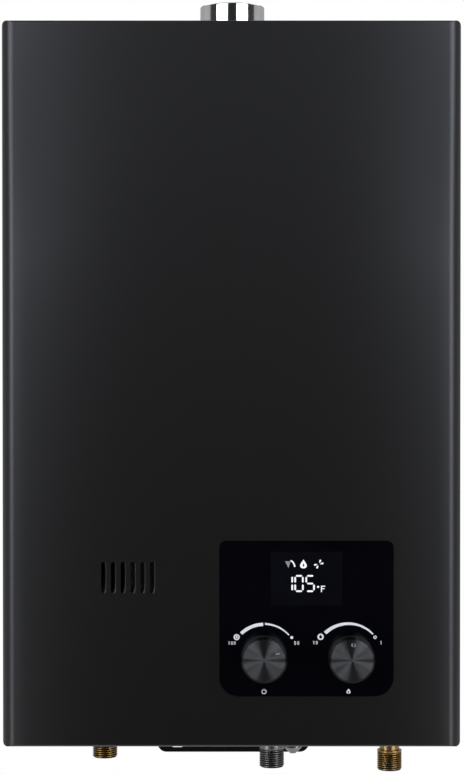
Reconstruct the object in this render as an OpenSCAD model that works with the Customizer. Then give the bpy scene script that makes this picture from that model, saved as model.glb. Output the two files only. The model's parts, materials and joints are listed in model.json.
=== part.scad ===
// Wall-hung tankless gas water heater.
// The wall plane is y = 0, the front faces -y, and x = 0 and z = 0 are the casing's middle and bottom.

/* [Casing] */
// Width of the casing across the front
casing_w = 372; // [364:1:420]
// Height of the casing between its bottom and top edges
casing_h = 587; // [583:1:640]
// Depth of the casing from the wall to the front face
casing_d = 145; // [143:1:165]
// Thickness of the casing sheet
sheet = 1.2; // [0.8:0.1:1.6]
// Bend radius of the two upright front edges
edge_r = 10; // [4:0.5:14]
// Corner radius of the front outline
corner_r = 4; // [2:0.5:8]
// Bend radius of the top and bottom front edges
lip_r = 2; // [1.8:0.1:4]
// Depth of the cover's returns over the top and base plates
return_d = 34; // [24:1:40]
// Gap between the cover's rear edge and the wall
cover_gap = 3; // [2:0.5:8]
// Distance of the cover screws from the casing's sides
cover_screw_in = 60; // [40:1:90]
// Radius of a sheet screw's shank
edge_screw_r = 2; // [1.5:0.1:2.5]
// Radius of a sheet screw's head
screw_head_r = 3.6; // [3:0.1:4.5]
// Height of a sheet screw's head
screw_head_h = 2; // [1.5:0.1:3]
// Reach of a sheet screw past the sheets that it joins
screw_grip = 3; // [2:0.5:4]
// Number of air slots in the base
air_slot_n = 20; // [10:1:24]
// Width of an air slot in the base
air_slot_w = 5; // [3:0.5:6]
// Length of an air slot in the base
air_slot_len = 28; // [16:1:36]
// Distance of the base's air slots from the wall
air_slot_y = 88; // [86:1:92]

/* [Wall plate] */
// Width of the screw tabs above and below the casing
tab_w = 133; // [110:1:180]
// Reach of the lower tab below the casing
tab_drop = 31; // [22:1:40]
// Reach of the upper tab above the casing
tab_rise = 20; // [18:1:30]
// Corner radius of the tabs
tab_r = 8; // [3:0.5:10]
// Length of a wall screw slot
slot_len = 12; // [9:0.5:18]
// Width of a wall screw slot
slot_w = 6; // [4.5:0.5:8]
// Distance between the two slots of a tab
slot_spacing = 98; // [70:1:110]
// Distance of a slot from the tab's outer edge
slot_edge = 7; // [6:0.5:9]
// Depth of the side flanges
flange_d = 18; // [12:1:30]
// Height of the upturned edges of the top and base plates
upturn = 14; // [8:1:16]
// Number of stiffening beads
bead_n = 4; // [2:1:4]
// Length of a stiffening bead
bead_len = 250; // [120:5:255]
// Width of a stiffening bead
bead_w = 14; // [8:1:16]
// Height of a stiffening bead
bead_rise = 3; // [2:0.5:4]
// Level of the lowest bead
bead_z = 215; // [205:1:220]
// Distance between beads
bead_pitch = 109; // [100:1:110]

/* [Louvre] */
// Number of air slots in the front
louvre_n = 6; // [3:1:9]
// Width of an air slot
louvre_w = 4.2; // [3:0.1:6]
// Height of an air slot
louvre_h = 25.5; // [15:0.5:40]
// Distance between air slots
louvre_pitch = 7.9; // [7:0.1:10]
// Place of the louvre from the middle
louvre_x = -83.5; // [-120:0.5:-60]
// Level of the louvre
louvre_z = 137; // [100:1:160]

/* [Flue] */
// Outer diameter of the collar tube
flue_d = 54; // [50:1:58]
// Bevel round the collar's upper edge
flue_bevel = 0.7; // [0.3:0.1:1]
// Wall of the collar tube
flue_wall = 1.5; // [1:0.1:2]
// Reach of the collar above the casing top
flue_rise = 23; // [15:1:40]
// Distance of the collar's axis from the wall
flue_y = 67; // [64:1:72]
// Diameter of the collar's flange
flue_flange_d = 84; // [78:1:96]
// Thickness of the collar's flange
flue_flange_t = 1.5; // [1:0.1:3]
// Thickness of the flue gasket
gasket_t = 2; // [1:0.5:3]
// Number of flange screws
flue_screw_n = 4; // [3:1:8]

/* [Fan] */
// Place of the fan axis from the middle
fan_x = -50; // [-56:1:-46]
// Depth of the fan axis below the casing top
fan_drop = 63; // [61:1:66]
// Radius of the impeller
impeller_r = 44; // [38:1:46]
// Inner radius of the scroll at its tongue
scroll_r = 50; // [49:0.5:52]
// Wall of the fan housing
scroll_wall = 1.5; // [1:0.1:2]
// Outer depth of the fan housing
fan_d = 52; // [48:1:54]
// Inner width of the fan outlet
outlet_w = 48; // [44:1:50]
// Radius of the fan's inlet eye
eye_r = 32; // [26:1:34]
// Number of impeller blades
blade_n = 24; // [12:1:30]
// Thickness of the impeller sheet
blade_t = 1; // [0.8:0.1:1.5]
// Radius of the fan motor
motor_r = 32; // [25:1:36]
// Length of the fan motor
motor_len = 32; // [24:1:42]
// Radius of the fan shaft
shaft_r = 3; // [2:0.5:4]
// Radius of the impeller's hub
hub_r = 7; // [5:0.5:10]
// Length of the impeller's hub
hub_len = 22; // [14:1:28]
// Radial length of a blade
blade_len = 10; // [6:0.5:12]
// Angle that a blade sweeps forward
blade_sweep = 18; // [8:1:24]
// Gap between the impeller's disc and its housing
disc_gap = 3.5; // [2:0.5:5]
// Gap between the impeller's ring and its housing
ring_gap = 4.5; // [3:0.5:6]
// Bevel round the motor's front
motor_bell = 6; // [3:0.5:8]
// Thickness of the motor's front and of its feet
motor_shell = 3; // [2:0.5:4]
// Number of cooling slots in the motor's front
motor_slot_n = 8; // [4:1:10]
// Width of a cooling slot
motor_slot_w = 3; // [2:0.5:4]
// Number of motor feet
motor_foot_n = 3; // [3:1:4]
// Reach of a motor foot past the motor
motor_foot = 9; // [7:0.5:10]
// Height of the pressure tapping above the fan's axis
tapping_rise = 36; // [30:1:40]

/* [Heat exchanger] */
// Width of the combustion chamber
chamber_w = 240; // [225:1:246]
// Depth of the combustion chamber
chamber_d = 102; // [98:1:103]
// Height of the combustion chamber
chamber_h = 150; // [140:1:152]
// Gap between the chamber and the wall plane
chamber_gap = 22; // [22:0.5:23]
// Thickness of the chamber sheet
chamber_t = 1; // [0.8:0.1:1.2]
// Height of the fin pack
fin_h = 55; // [50:1:57]
// Number of fins
fin_n = 40; // [20:1:50]
// Thickness of a fin
fin_t = 0.8; // [0.4:0.1:1.2]
// Outer radius of the water tube
tube_r = 6.35; // [5:0.05:6.5]
// Wall of the water tube
tube_wall = 0.9; // [0.6:0.1:1.2]
// Number of tubes through the fins, an even number
tube_n = 4; // [2:2:4]
// Distance between tubes through the fins
tube_pitch = 22; // [20:0.5:24]
// Bend radius of the water pipes
pipe_bend = 12; // [10:0.5:13]
// Height of the coil's first turn above the chamber bottom
coil_z = 27; // [24:1:32]
// Height between the coil's turns
coil_pitch = 50; // [40:1:60]
// Height of the coil's first turn above its lower end
coil_drop = 34; // [30:1:36]
// Straight length after the coil's last bend
coil_lead = 1; // [0.5:0.5:3]
// Gap between neighbouring water pipes
pipe_gap = 3; // [2:0.5:5]
// Level of the hot pipe's crossing
hot_cross_z = 120; // [110:1:130]
// Reach of the tube ends past the fins
stub_len = 7; // [5:0.5:8]
// Straight length of tube before a return bend
turn_lead = 5; // [4:0.5:8]
// Distance of the first fin from the end plate
fin_margin = 8; // [4:1:12]
// Radius of the notches in the top of a fin
fin_notch_r = 5; // [3:0.5:6]
// Width of the chamber's turned flanges
chamber_flange = 5; // [3:0.5:5]
// Height of the hood's upright front lip
hood_lip = 6; // [4:0.5:10]
// Margin of the hood's riser round the fan's eye
riser_rim = 14; // [10:1:15]
// Distance of a chamber bracket from the middle
bracket_x = 70; // [60:1:90]
// Width of a bracket's foot
bracket_foot = 16; // [12:1:20]
// Height of a bracket
bracket_h = 26; // [20:1:30]
// Thickness of a bracket
bracket_t = 1.5; // [1:0.1:2]
// Depth of the brackets' tops below the fins
bracket_drop = 12; // [8:1:20]

/* [Burner] */
// Level of the burner frame
burner_z = 195; // [193:1:196]
// Height of the burner frame
burner_h = 40; // [38:1:42]
// Number of burner bars
bar_n = 11; // [6:1:12]
// Thickness of a burner bar
bar_t = 8; // [5:0.5:10]
// Distance between burner bars
bar_pitch = 20; // [18:0.5:20]
// Number of flame ports in a bar
port_n = 14; // [6:1:18]
// Width of a flame port
port_w = 2; // [1:0.1:2.5]
// Height of the gas manifold
manifold_h = 18; // [16:1:20]
// Depth of the gas manifold
manifold_d = 14; // [12:0.5:15]
// Radius of a nozzle's body
nozzle_r = 4; // [3:0.1:5]
// Length of a nozzle's body
nozzle_len = 6; // [4:0.5:7]
// Radius of a nozzle's shank
nozzle_shank_r = 2.5; // [1.5:0.1:2.8]
// Length of a nozzle's shank
nozzle_shank = 6; // [4:0.5:8]
// Gap round a nozzle in the burner frame
nozzle_gap = 1.5; // [1:0.1:2]
// Height of the nozzles above the frame's bottom
nozzle_rise = 12; // [11:0.5:13]
// Gap between the manifold and the burner frame
manifold_gap = 2; // [1.5:0.1:2.5]
// Reach of the manifold past the outer nozzles
manifold_end = 15; // [12:1:18]
// Size of a manifold lug
manifold_lug = 6; // [4:0.5:7]
// Height of a bar's underside above the frame's bottom
bar_seat = 3; // [2:0.5:4]
// Depth of a bar's top below the frame's top
bar_sink = 7; // [5:0.5:8]
// Gap at each end of a bar
bar_gap = 7; // [6:0.5:9]
// Depth of a bar's flared mouth
bar_flare = 18; // [12:1:24]
// Height of the mouth's edge above the nozzle's axis
mouth_rise = 8; // [7:0.5:9]
// Height of the throat above the nozzle's axis
throat_rise = 5; // [4:0.5:6]
// Height of a bar's head at the mouth
head_front = 8; // [6:0.5:9]
// Height of a bar's head at the throat
head_back = 12; // [10:0.5:13]
// Bevel at a bar's lower rear corner
bar_heel = 10; // [6:0.5:12]
// Depth of a flame port
port_depth = 5; // [3:0.5:5.5]
// Width of the two rails that carry the bars
rail_w = 10; // [8:0.5:12]

/* [Electrodes] */
// Height of the electrodes above the chamber's bottom
electrode_rise = 11; // [10:0.5:12]
// Radius of an electrode's insulator
electrode_r = 4; // [3:0.1:4.5]
// Width and thickness of an insulator's collar
electrode_rim = 2; // [1:0.5:3]
// Length of an insulator
insulator_len = 20; // [16:1:22]
// Reach of an insulator into the chamber
insulator_in = 10; // [7:0.5:11]
// Radius of an electrode rod
rod_r = 1.2; // [0.8:0.1:1.5]
// Reach of an electrode rod into the chamber
rod_in = 42; // [30:1:50]
// Reach of an electrode rod out of its insulator
rod_out = 4; // [3:0.5:4.5]
// Distance of the outer electrodes from the middle
electrode_x = 30; // [26:1:60]
// Distance between the two spark electrodes
spark_pitch = 16; // [14:1:24]
// Radius of an electrode lead
lead_r = 1.3; // [0.8:0.1:1.4]
// Bend radius of a lead
lead_bend = 4; // [2:0.5:4.5]
// Radius of the boot on an electrode
boot_r = 3; // [2.5:0.1:3.5]
// Depth of the first lead below the electrodes
lead_fall = 10; // [9:0.5:11]
// Height between neighbouring leads
lead_pitch = 5; // [4:0.5:5.5]
// Distance of the leads from the chamber
lead_side = 8; // [7:0.5:10]

/* [Connections] */
// Radius over the connection threads
thread_r = 10.48; // [8:0.01:12]
// Radius of the neck above a water thread
neck_r = 8.4; // [7.5:0.1:8.8]
// Radius of the water way through a fitting
bore_r = 6.5; // [5:0.1:7]
// Length of a connection thread
thread_len = 17; // [12:0.5:18]
// Distance of the connections from the wall
fitting_y = 50; // [48:0.5:53]
// Radius of a fitting's flange under the base plate
fitting_flange_r = 14; // [13:0.5:16]
// Level of the water fittings' tops
fitting_top = 30; // [26:1:34]
// Place of the hot outlet from the middle
hot_x = -109; // [-112:1:-104]
// Reach of the hot outlet below the casing
hot_drop = 25.8; // [22:0.1:45]
// Place of the gas inlet from the middle
gas_x = 33.4; // [31:0.2:36]
// Reach of the gas inlet below the casing
gas_drop = 34.2; // [22:0.1:45]
// Distance of the cold inlet from the chamber's side
cold_side = 14; // [13:0.5:18]
// Reach of the cold inlet below the casing
cold_drop = 36.7; // [22:0.1:45]
// Height of a lock nut
nut_h = 8; // [6:0.5:10]
// Size of a lock nut over its corners
nut_d = 34; // [30:0.5:36]
// Place of the drain from the middle
drain_x = 52; // [50:1:60]
// Distance of the drain from the wall
drain_y = 20; // [18:0.5:21]
// Reach of the drain plug below the casing
drain_drop = 28.4; // [20:0.2:34]
// Radius of the drain plug
drain_r = 8.2; // [7:0.1:9]
// Thickness of a fitting's flange
fitting_flange_t = 4; // [3:0.5:5]
// Bevel at the end of a thread
thread_bevel = 1; // [0.5:0.1:1.5]
// Step between the gas thread and its neck
gas_neck_step = 0.4; // [0.3:0.1:1]
// Height of the bevel at a nut's corners
nut_bevel = 1.2; // [0.6:0.1:2]
// Size of a water pipe's nut over its corners
pipe_nut_d = 24; // [20:0.5:26]
// Wall of a gas pipe's nut at its corners
gas_nut_wall = 3; // [2.5:0.1:3.3]
// Radius of the drain valve's flange
drain_flange_r = 11; // [10:0.5:12]
// Radius of the drain valve's body
drain_body_r = 8; // [7:0.1:9]
// Radius of the drain's water way
drain_way_r = 4; // [3:0.1:4.4]
// Outer radius of the drain pipe
drain_pipe_r = 5; // [4.5:0.1:6]
// Level of the drain valve's top
drain_top = 22; // [18:1:26]
// Level of the drain pipe's crossing
drain_cross_z = 60; // [54:1:66]
// Depth of the drain plug's seat
drain_seat = 4; // [3:0.5:6]
// Length of the drain plug's spigot
drain_spigot = 14; // [8:1:18]
// Length of the drain plug's taper
drain_taper = 5.6; // [3:0.2:8]
// Radius of the drain plug's tip
drain_tip_r = 2.6; // [1.5:0.1:4]

/* [Gas valve] */
// Width of the valve body
valve_w = 92; // [88:1:94]
// Depth of the valve body
valve_d = 44; // [38:1:46]
// Height of the valve body
valve_h = 60; // [54:1:64]
// Level of the valve body
valve_z = 40; // [36:1:44]
// Radius of the solenoid
solenoid_r = 14; // [11:0.5:15]
// Radius of the solenoid's plunger
plunger_r = 5; // [4:0.1:6]
// Length of the plunger
plunger_len = 28; // [22:1:29]
// Travel of the plunger
plunger_travel = 3; // [2:0.5:4]
// Outer radius of the gas pipe
gas_pipe_r = 7; // [6:0.1:7]
// Wall of the gas pipe
gas_pipe_wall = 1; // [0.8:0.1:1.5]
// Bend radius of the gas pipe
gas_bend = 9; // [8:0.5:9.5]
// Depth of the gas pipe's crossing below the burner frame
gas_cross_drop = 15; // [13:0.5:18]
// Corner radius of the valve body
valve_r = 6; // [3:0.5:8]
// Depth of the valve's ports
valve_port = 14; // [10:1:18]
// Width of the ribs on the valve's front
valve_rib = 5; // [3:0.5:7]
// Depth of the pockets between the ribs
valve_pocket_d = 6; // [3:0.5:8]
// Number of pockets in the valve's front
valve_pocket_n = 3; // [2:1:4]
// Radius of the boss round the gas spindle
spindle_boss_r = 8; // [7:0.5:10]
// Length of the boss round the gas spindle
spindle_boss = 8; // [5:0.5:12]
// Distance of the valve's middle from the gas inlet
valve_shift = 26.2; // [24:0.2:27]
// Distance of the solenoid from the gas inlet
solenoid_shift = -3.4; // [-4:0.2:0]
// Distance of the regulator cap from the gas inlet
cap_shift = 56.6; // [54:0.2:58]
// Radius of the regulator cap
cap_r = 14; // [11:0.5:14.5]
// Height of the regulator cap
cap_h = 10; // [6:0.5:14]
// Height of the hexagon on the regulator cap
cap_hex_h = 6; // [4:0.5:8]
// Width and thickness of the solenoid's foot
solenoid_rim = 2; // [1:0.5:3]
// Thickness of the solenoid's floor and roof
plunger_floor = 4; // [3:0.5:6]
// Gap at each end of the plunger's travel
plunger_rest = 0.5; // [0.3:0.1:1]

/* [Flow sensor] */
// Radius of the sensor body
sensor_r = 16; // [14:0.5:17]
// Height of the sensor body
sensor_h = 82; // [76:1:90]
// Radius of its water way
sensor_bore_r = 9; // [8:0.5:10]
// Height of the turbine
turbine_h = 24; // [16:1:30]
// Number of turbine blades
turbine_n = 6; // [3:1:8]
// Radius of the turbine's axle
axle_r = 1; // [0.8:0.1:1.5]
// Height of the sensor's closed end round its outlet
sensor_collar = 10; // [6:1:12]
// Height of the spider above the sensor's foot
spider_rise = 14; // [10:1:16]
// Thickness of the spider
spider_t = 3; // [2:0.5:4]
// Gap between the turbine and the spider
turbine_gap = 4; // [2:0.5:5]
// Gap between the turbine's blades and the water way
turbine_clear = 0.6; // [0.3:0.1:1]
// Thickness of a turbine blade
turbine_t = 1.4; // [1:0.1:2]
// Slant of a turbine blade
turbine_slant = 32; // [20:1:40]
// Radius of the sensor's drain boss
drain_boss_r = 8; // [7:0.5:9]
// Reach of the sensor's drain boss
drain_boss = 4; // [3:0.5:5]
// Width of the sensor's pickup
pickup_w = 14; // [10:1:18]
// Height of the sensor's pickup
pickup_h = 22; // [14:1:26]
// Reach of the sensor's pickup
pickup_d = 6; // [4:0.5:8]

/* [Control panel] */
// Width of the panel
panel_w = 140.2; // [130:0.2:144]
// Height of the panel
panel_h = 125.4; // [120:0.2:130]
// Place of the panel from the middle
panel_x = 60.8; // [56:0.2:64]
// Level of the panel's middle
panel_z = 104; // [101:0.5:105]
// Radius of the panel's upper corners
panel_top_r = 5; // [2:0.5:10]
// Radius of the panel's lower corners
panel_low_r = 15; // [6:0.5:20]
// Reach of the panel in front of the cover
panel_proud = 1; // [0.5:0.1:3]
// Thickness of the panel's flange behind the cover
panel_flange_t = 2.5; // [2:0.1:4]
// Width of the panel's flange
panel_rim = 4.5; // [3:0.5:6]
// Width of the display window
window_w = 58; // [50:0.5:64]
// Height of the display window
window_h = 43.5; // [36:0.5:46]
// Height of the window's middle above the panel's middle
window_rise = 32.5; // [30:0.5:34]
// Thickness of the display window
window_t = 1.5; // [1:0.1:1.6]
// Ledge that carries the window
window_ledge = 2; // [1:0.5:4]
// Depth of the display module
display_d = 14; // [8:0.5:16]
// Margin of the display module round the window's ledge
display_rim = 5; // [4:0.5:6]

/* [Knobs] */
// Diameter of a knob
knob_d = 37; // [32:0.5:42]
// Height of a knob
knob_h = 18.5; // [14:0.5:24]
// Chamfer round a knob's face
knob_chamfer = 1.5; // [0.5:0.1:2.5]
// Distance between the two knobs
knob_spread = 70.4; // [60:0.2:76]
// Shift of the two knobs to the right
knob_shift = 0.8; // [0:0.1:1]
// Depth of the knobs' axes below the panel's middle
knob_fall = 31.2; // [26:0.2:34]
// Gap between a knob and the panel
knob_gap = 0.4; // [0.3:0.1:1]
// Radius of a knob's spindle
spindle_r = 3; // [2.5:0.1:4]
// Angle of the power knob's mark, clockwise from the top
power_mark = 60; // [-60:1:60]
// Angle of the gas knob's mark, clockwise from the top
gas_mark = 5; // [-52:1:52]
// Wall of a knob's skirt
knob_wall = 2.2; // [1.5:0.1:3]
// Thickness of a knob's face
knob_face = 4; // [3:0.5:6]
// Radius of a knob's boss
knob_boss_r = 7; // [6:0.5:9]
// Distance of the pointer dimple from the knob's axis
dimple_ring = 12.5; // [9:0.1:13]
// Radius of the pointer dimple
dimple_r = 1.9; // [1:0.1:2.2]
// Depth of the pointer dimple
dimple_d = 0.6; // [0.3:0.1:1]
// Gap between a spindle's tip and the knob's face
spindle_tip_gap = 1.5; // [0.5:0.1:3]
// Reach of the gas spindle into the valve
spindle_in = 10; // [6:1:16]
// Gap behind a spindle's inner end
spindle_back = 2; // [1:0.5:3]
// Width of the power selector
selector_w = 24; // [18:1:28]
// Depth of the power selector
selector_d = 14; // [10:1:18]
// Corner radius of the power selector
selector_r = 3; // [1:0.5:5]

/* [Electrics] */
// Width of the controller box
box_w = 88; // [70:1:88]
// Height of the controller box
box_h = 108; // [90:1:112]
// Depth of the controller box
box_d = 34; // [24:1:38]
// Place of the controller box from the middle
box_x = -47; // [-48:1:-42]
// Level of the controller box
box_z = 30; // [24:1:36]
// Size of the igniter block
igniter_w = 40; // [30:1:42]
// Radius of the pressure switch
switch_r = 24; // [18:1:28]
// Depth of the igniter block
igniter_d = 32; // [24:1:34]
// Depth of the igniter below the burner frame
igniter_drop = 5; // [3:1:10]
// Distance between the igniter's terminals
terminal_pitch = 13; // [11:0.5:16]
// Radius of an igniter terminal
terminal_r = 4; // [3:0.5:5]
// Height of an igniter terminal
terminal_h = 8; // [5:0.5:10]
// Distance of the pressure switch from the side flange
switch_side = 18; // [10:1:24]
// Depth of the pressure switch below the top plate
switch_drop = 84; // [80:1:90]
// Height of the pressure switch's case
switch_h = 8; // [6:0.5:12]
// Height of the pressure switch's cap
switch_cap_h = 6; // [4:0.5:8]
// Step between the case and the cap
switch_step = 5; // [3:0.5:8]
// Radius of a hose nipple
nipple_r = 4; // [3:0.1:5]
// Length of a hose nipple
nipple_len = 10; // [8:0.5:14]
// Wall of the pressure hose
hose_wall = 1.5; // [1:0.1:2]
// Bend radius of the pressure hose
hose_bend = 14; // [10:0.5:18]
// Radius of the thermostat's flange
thermostat_r = 9; // [7:0.5:10]
// Thickness of the thermostat's flange
thermostat_t = 2; // [1.5:0.1:3]
// Height of the thermostat's case
thermostat_h = 6; // [4:0.5:8]
// Depth of the thermostat below the fins
thermostat_drop = 28; // [24:1:34]
// Wall of the controller box
box_wall = 2; // [1.5:0.1:3]
// Corner radius of the controller box
box_r = 4; // [3.5:0.1:6]
// Width and reach of the controller box's ears
box_ear = 12; // [9:0.5:13]
// Thickness of the controller lid
lid_t = 2; // [1.5:0.1:3]
// Number of slots in the controller lid
lid_slot_n = 7; // [3:1:7]
// Length of a lid slot
lid_slot_len = 20; // [12:1:30]
// Width of a lid slot
lid_slot_w = 3; // [2:0.5:4]
// Distance between lid slots
lid_slot_pitch = 9; // [7:0.5:10]
// Depth of the lid slots below the box's top
lid_slot_drop = 32; // [24:1:40]
// Distance of the lead's entry from the box's middle
lead_entry = 28; // [20:1:34]
// Place of the cable gland from the middle
gland_x = -40; // [-50:1:-30]
// Distance of the cable gland from the wall
gland_y = 25; // [22:1:27]
// Radius of the gland's body
gland_r = 6; // [5:0.5:7]
// Radius of the gland's cable way
gland_way_r = 3; // [2:0.5:4]
// Width of the gland's rims
gland_rim = 3; // [2:0.5:4]
// Reach of the gland below the casing
gland_drop = 8; // [6:0.5:12]
// Height of the gland's taper and of its inner rim
gland_taper = 4; // [2:0.5:6]

/* [Fits] */
// Radial clearance of shafts and tubes in their bores
fit = 0.05; // [0.02:0.01:0.1]
// Clearance between neighbouring pieces
clear = 0.3; // [0.2:0.05:0.5]

/* [Hidden] */
$fn = 48;
over = 1;
front_y = -casing_d;
inside_y = front_y + sheet;
plate_w = casing_w - 2 * sheet - 2 * clear;
shelf_w = casing_w - 2 * corner_r;
base_low = sheet + clear;
base_top = base_low + sheet;
roof_top = casing_h - sheet - clear;
roof_low = roof_top - sheet;
plate_front = inside_y + clear;
cover_screw_x = casing_w / 2 - cover_screw_in;
cover_screw_y = front_y + return_d / 2;

flue_r = flue_d / 2;
flue_bore_r = flue_r - flue_wall;
flange_low = roof_top + gasket_t;
flange_top = flange_low + flue_flange_t;
collar_top = casing_h + flue_rise;
flue_screw_ring = (flue_flange_d + flue_d) / 4;

fan_z = casing_h - fan_drop;
fan_back = -flue_y + fan_d / 2;
fan_front = -flue_y - fan_d / 2;
scroll_end = outlet_w / 2 - fan_x;
scroll_from = 60;
scroll_to = 360;
scroll_step = 10;
outlet_rise = roof_low - fan_z;
disc_front = fan_front + scroll_wall + disc_gap;
ring_back = fan_back - scroll_wall - ring_gap;
blade_root_r = impeller_r - blade_len;
tapping_x = fan_x + scroll_end + scroll_wall;
tapping_z = fan_z + tapping_rise;

chamber_back = -chamber_gap;
chamber_front = chamber_back - chamber_d;
chamber_mid = (chamber_front + chamber_back) / 2;
chamber_z = burner_z + burner_h;
fin_z = chamber_z + chamber_h;
hood_z = fin_z + fin_h;
hood_top = fan_z - scroll_at(270) - scroll_wall - clear;
riser_x = fan_x - eye_r - riser_rim;
riser_w = 2 * (eye_r + riser_rim);
riser_top = fan_z + eye_r + riser_rim;
tube_bore = tube_r - tube_wall;
tube_z = fin_z + fin_h / 2;
tube_row = chamber_mid + (tube_n - 1) * tube_pitch / 2;
cold_x = chamber_w / 2 + cold_side;
stub_x = chamber_w / 2 + stub_len;
turn_x = chamber_w / 2 + turn_lead + tube_pitch / 2;
fin_span = chamber_w - 2 * fin_margin;
coil_off = tube_r + clear;
coil_front = chamber_front - coil_off;
coil_back = chamber_back + coil_off;
coil_left = -chamber_w / 2 - coil_off;
coil_low = chamber_z + coil_z;
coil_high = coil_low + coil_pitch;
coil_start = coil_low - coil_drop;
coil_end_x = -stub_x - pipe_bend - coil_lead;
hot_rise_x = coil_end_x - 2 * tube_r - pipe_gap;

bar_top = burner_z + burner_h - bar_sink;
bar_low = burner_z + bar_seat;
nozzle_z = burner_z + nozzle_rise;
manifold_back = chamber_front - manifold_gap;
manifold_front = manifold_back - manifold_d;
manifold_low = nozzle_z - manifold_h / 2;
manifold_w = (bar_n - 1) * bar_pitch + 2 * manifold_end;
electrode_z = chamber_z + electrode_rise;
spark_xs = [-electrode_x, spark_pitch - electrode_x];
electrode_xs = concat(spark_xs, [electrode_x]);
insulator_front = chamber_front + insulator_in - insulator_len;
rod_front = insulator_front - rod_out;
lead_y = rod_front - lead_r - clear;
lead_x = -chamber_w / 2 - lead_side;

valve_x = gas_x + valve_shift;
valve_front = -fitting_y - valve_d / 2;
valve_top = valve_z + valve_h;
solenoid_x = gas_x + solenoid_shift;
cap_x = gas_x + cap_shift;
gas_cross_z = burner_z - gas_cross_drop;
gas_rise_y = (manifold_front + manifold_back) / 2;
gas_nut_d = 2 * (gas_pipe_r + gas_nut_wall);
solenoid_h = plunger_len + plunger_travel + 2 * plunger_rest + 2 * plunger_floor;

sensor_top = fitting_top + sensor_h;
spider_z = fitting_top + spider_rise;
turbine_z = spider_z + spider_t + turbine_gap;
turbine_r = sensor_bore_r - turbine_clear;
drain_boss_y = -fitting_y + sensor_r + drain_boss;
plug_top = -drain_seat;

panel_front = front_y - panel_proud;
panel_back = inside_y + panel_flange_t;
window_x = panel_x;
window_z = panel_z + window_rise;
power_x = panel_x + knob_shift - knob_spread / 2;
gas_knob_x = power_x + knob_spread;
knob_z = panel_z - knob_fall;
pocket_left = valve_x - valve_w / 2 + valve_r;
pocket_right = gas_knob_x - spindle_boss_r - valve_rib;
pocket_w = (pocket_right - pocket_left - (valve_pocket_n - 1) * valve_rib) / valve_pocket_n;
knob_back = panel_front - knob_gap;
knob_r = knob_d / 2;
spindle_tip = knob_back - knob_h + knob_face + spindle_tip_gap;

igniter_x = lead_x - (terminal_pitch + igniter_w) / 2;
igniter_z = burner_z - igniter_drop - igniter_w;
terminal_y = -sheet - igniter_d / 2;
terminal_top = igniter_z + igniter_w + terminal_h;
switch_x = plate_w / 2 - sheet - switch_side - switch_r;
switch_z = roof_low - switch_drop;
switch_front = -sheet - switch_h - switch_cap_h;
box_top = box_z + box_h;

function unit(v) = v / norm(v);
function polar(r, a) = [r * cos(a), r * sin(a)];

// Children drawn in a front view, x right and y up, extruded forward from the plane at y
module facing(y) {
    translate([0, y, 0]) rotate([90, 0, 0]) children();
}

// Children drawn in a side view, x backward and y up, extruded to the right from the plane at x
module sideways(x) {
    translate([x, 0, 0]) rotate([90, 0, 90]) children();
}

// Waste outside a rounded corner with its tip at the origin, pointing along the two signs
module corner_waste(sx, sy, r) {
    size = r + over;
    translate([-sx * r, -sy * r]) difference() {
        translate([sx > 0 ? 0 : -size, sy > 0 ? 0 : -size]) square(size);
        circle(r);
    }
}

// Rectangle on the x axis, with its own radius for the lower and the upper corners
module round_rect(w, h, low_r, high_r) {
    difference() {
        translate([-w / 2, 0]) square([w, h]);
        for (side = [-1, 1]) {
            if (low_r > 0) translate([side * w / 2, 0]) corner_waste(side, -1, low_r);
            if (high_r > 0) translate([side * w / 2, h]) corner_waste(side, 1, high_r);
        }
    }
}

// Slot with round ends, lying along x
module obround(length, width) {
    square([length - width, width], center = true);
    for (side = [-1, 1]) translate([side * (length - width) / 2, 0]) circle(width / 2);
}

// Straight length of tube, or of solid cord where the bore is 0
module pipe_leg(from, to, r, bore) {
    run = to - from;
    length = norm(run);
    translate(from) rotate([0, acos(run.z / length), atan2(run.y, run.x)]) linear_extrude(length)
        ring(r, bore);
}

// Disc with a hole, if the bore is over 0
module ring(r, bore) {
    difference() {
        circle(r);
        if (bore > 0) circle(bore);
    }
}

// Quarter bend of tube at a corner of its route
module pipe_turn(corner, way_in, way_out, bend, r, bore) {
    turn = cross(way_in, way_out);
    middle = corner - bend * way_in + bend * way_out;
    multmatrix([
        [-way_out.x, way_in.x, turn.x, middle.x],
        [-way_out.y, way_in.y, turn.y, middle.y],
        [-way_out.z, way_in.z, turn.z, middle.z],
        [0, 0, 0, 1]
    ])
    rotate_extrude(angle = 90) translate([bend, 0]) ring(r, bore);
}

// Tube along a square route, with a quarter bend at each corner
module pipe_run(route, r, bore, bend) {
    last = len(route) - 1;
    for (i = [0 : last - 1]) {
        way = unit(route[i + 1] - route[i]);
        from = route[i] + (i > 0 ? bend : 0) * way;
        to = route[i + 1] - (i < last - 1 ? bend : 0) * way;
        if (norm(to - from) > fit) pipe_leg(from, to, r, bore);
        if (i < last - 1)
            pipe_turn(route[i + 1], way, unit(route[i + 2] - route[i + 1]), bend, r, bore);
    }
}

// Hex nut with a plain bore and bevelled corners
module hex_nut(corners, height, bore) {
    corner = corners / 2;
    face = corner * (1 + cos(30)) / 2;
    difference() {
        intersection() {
            cylinder(d = corners, h = height, $fn = 6);
            rotate_extrude() polygon([
                [0, 0], [face, 0], [corner, nut_bevel], [corner, height - nut_bevel],
                [face, height], [0, height]
            ]);
        }
        translate([0, 0, -over]) cylinder(r = bore, h = height + 2 * over);
    }
}

// Cover

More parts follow.
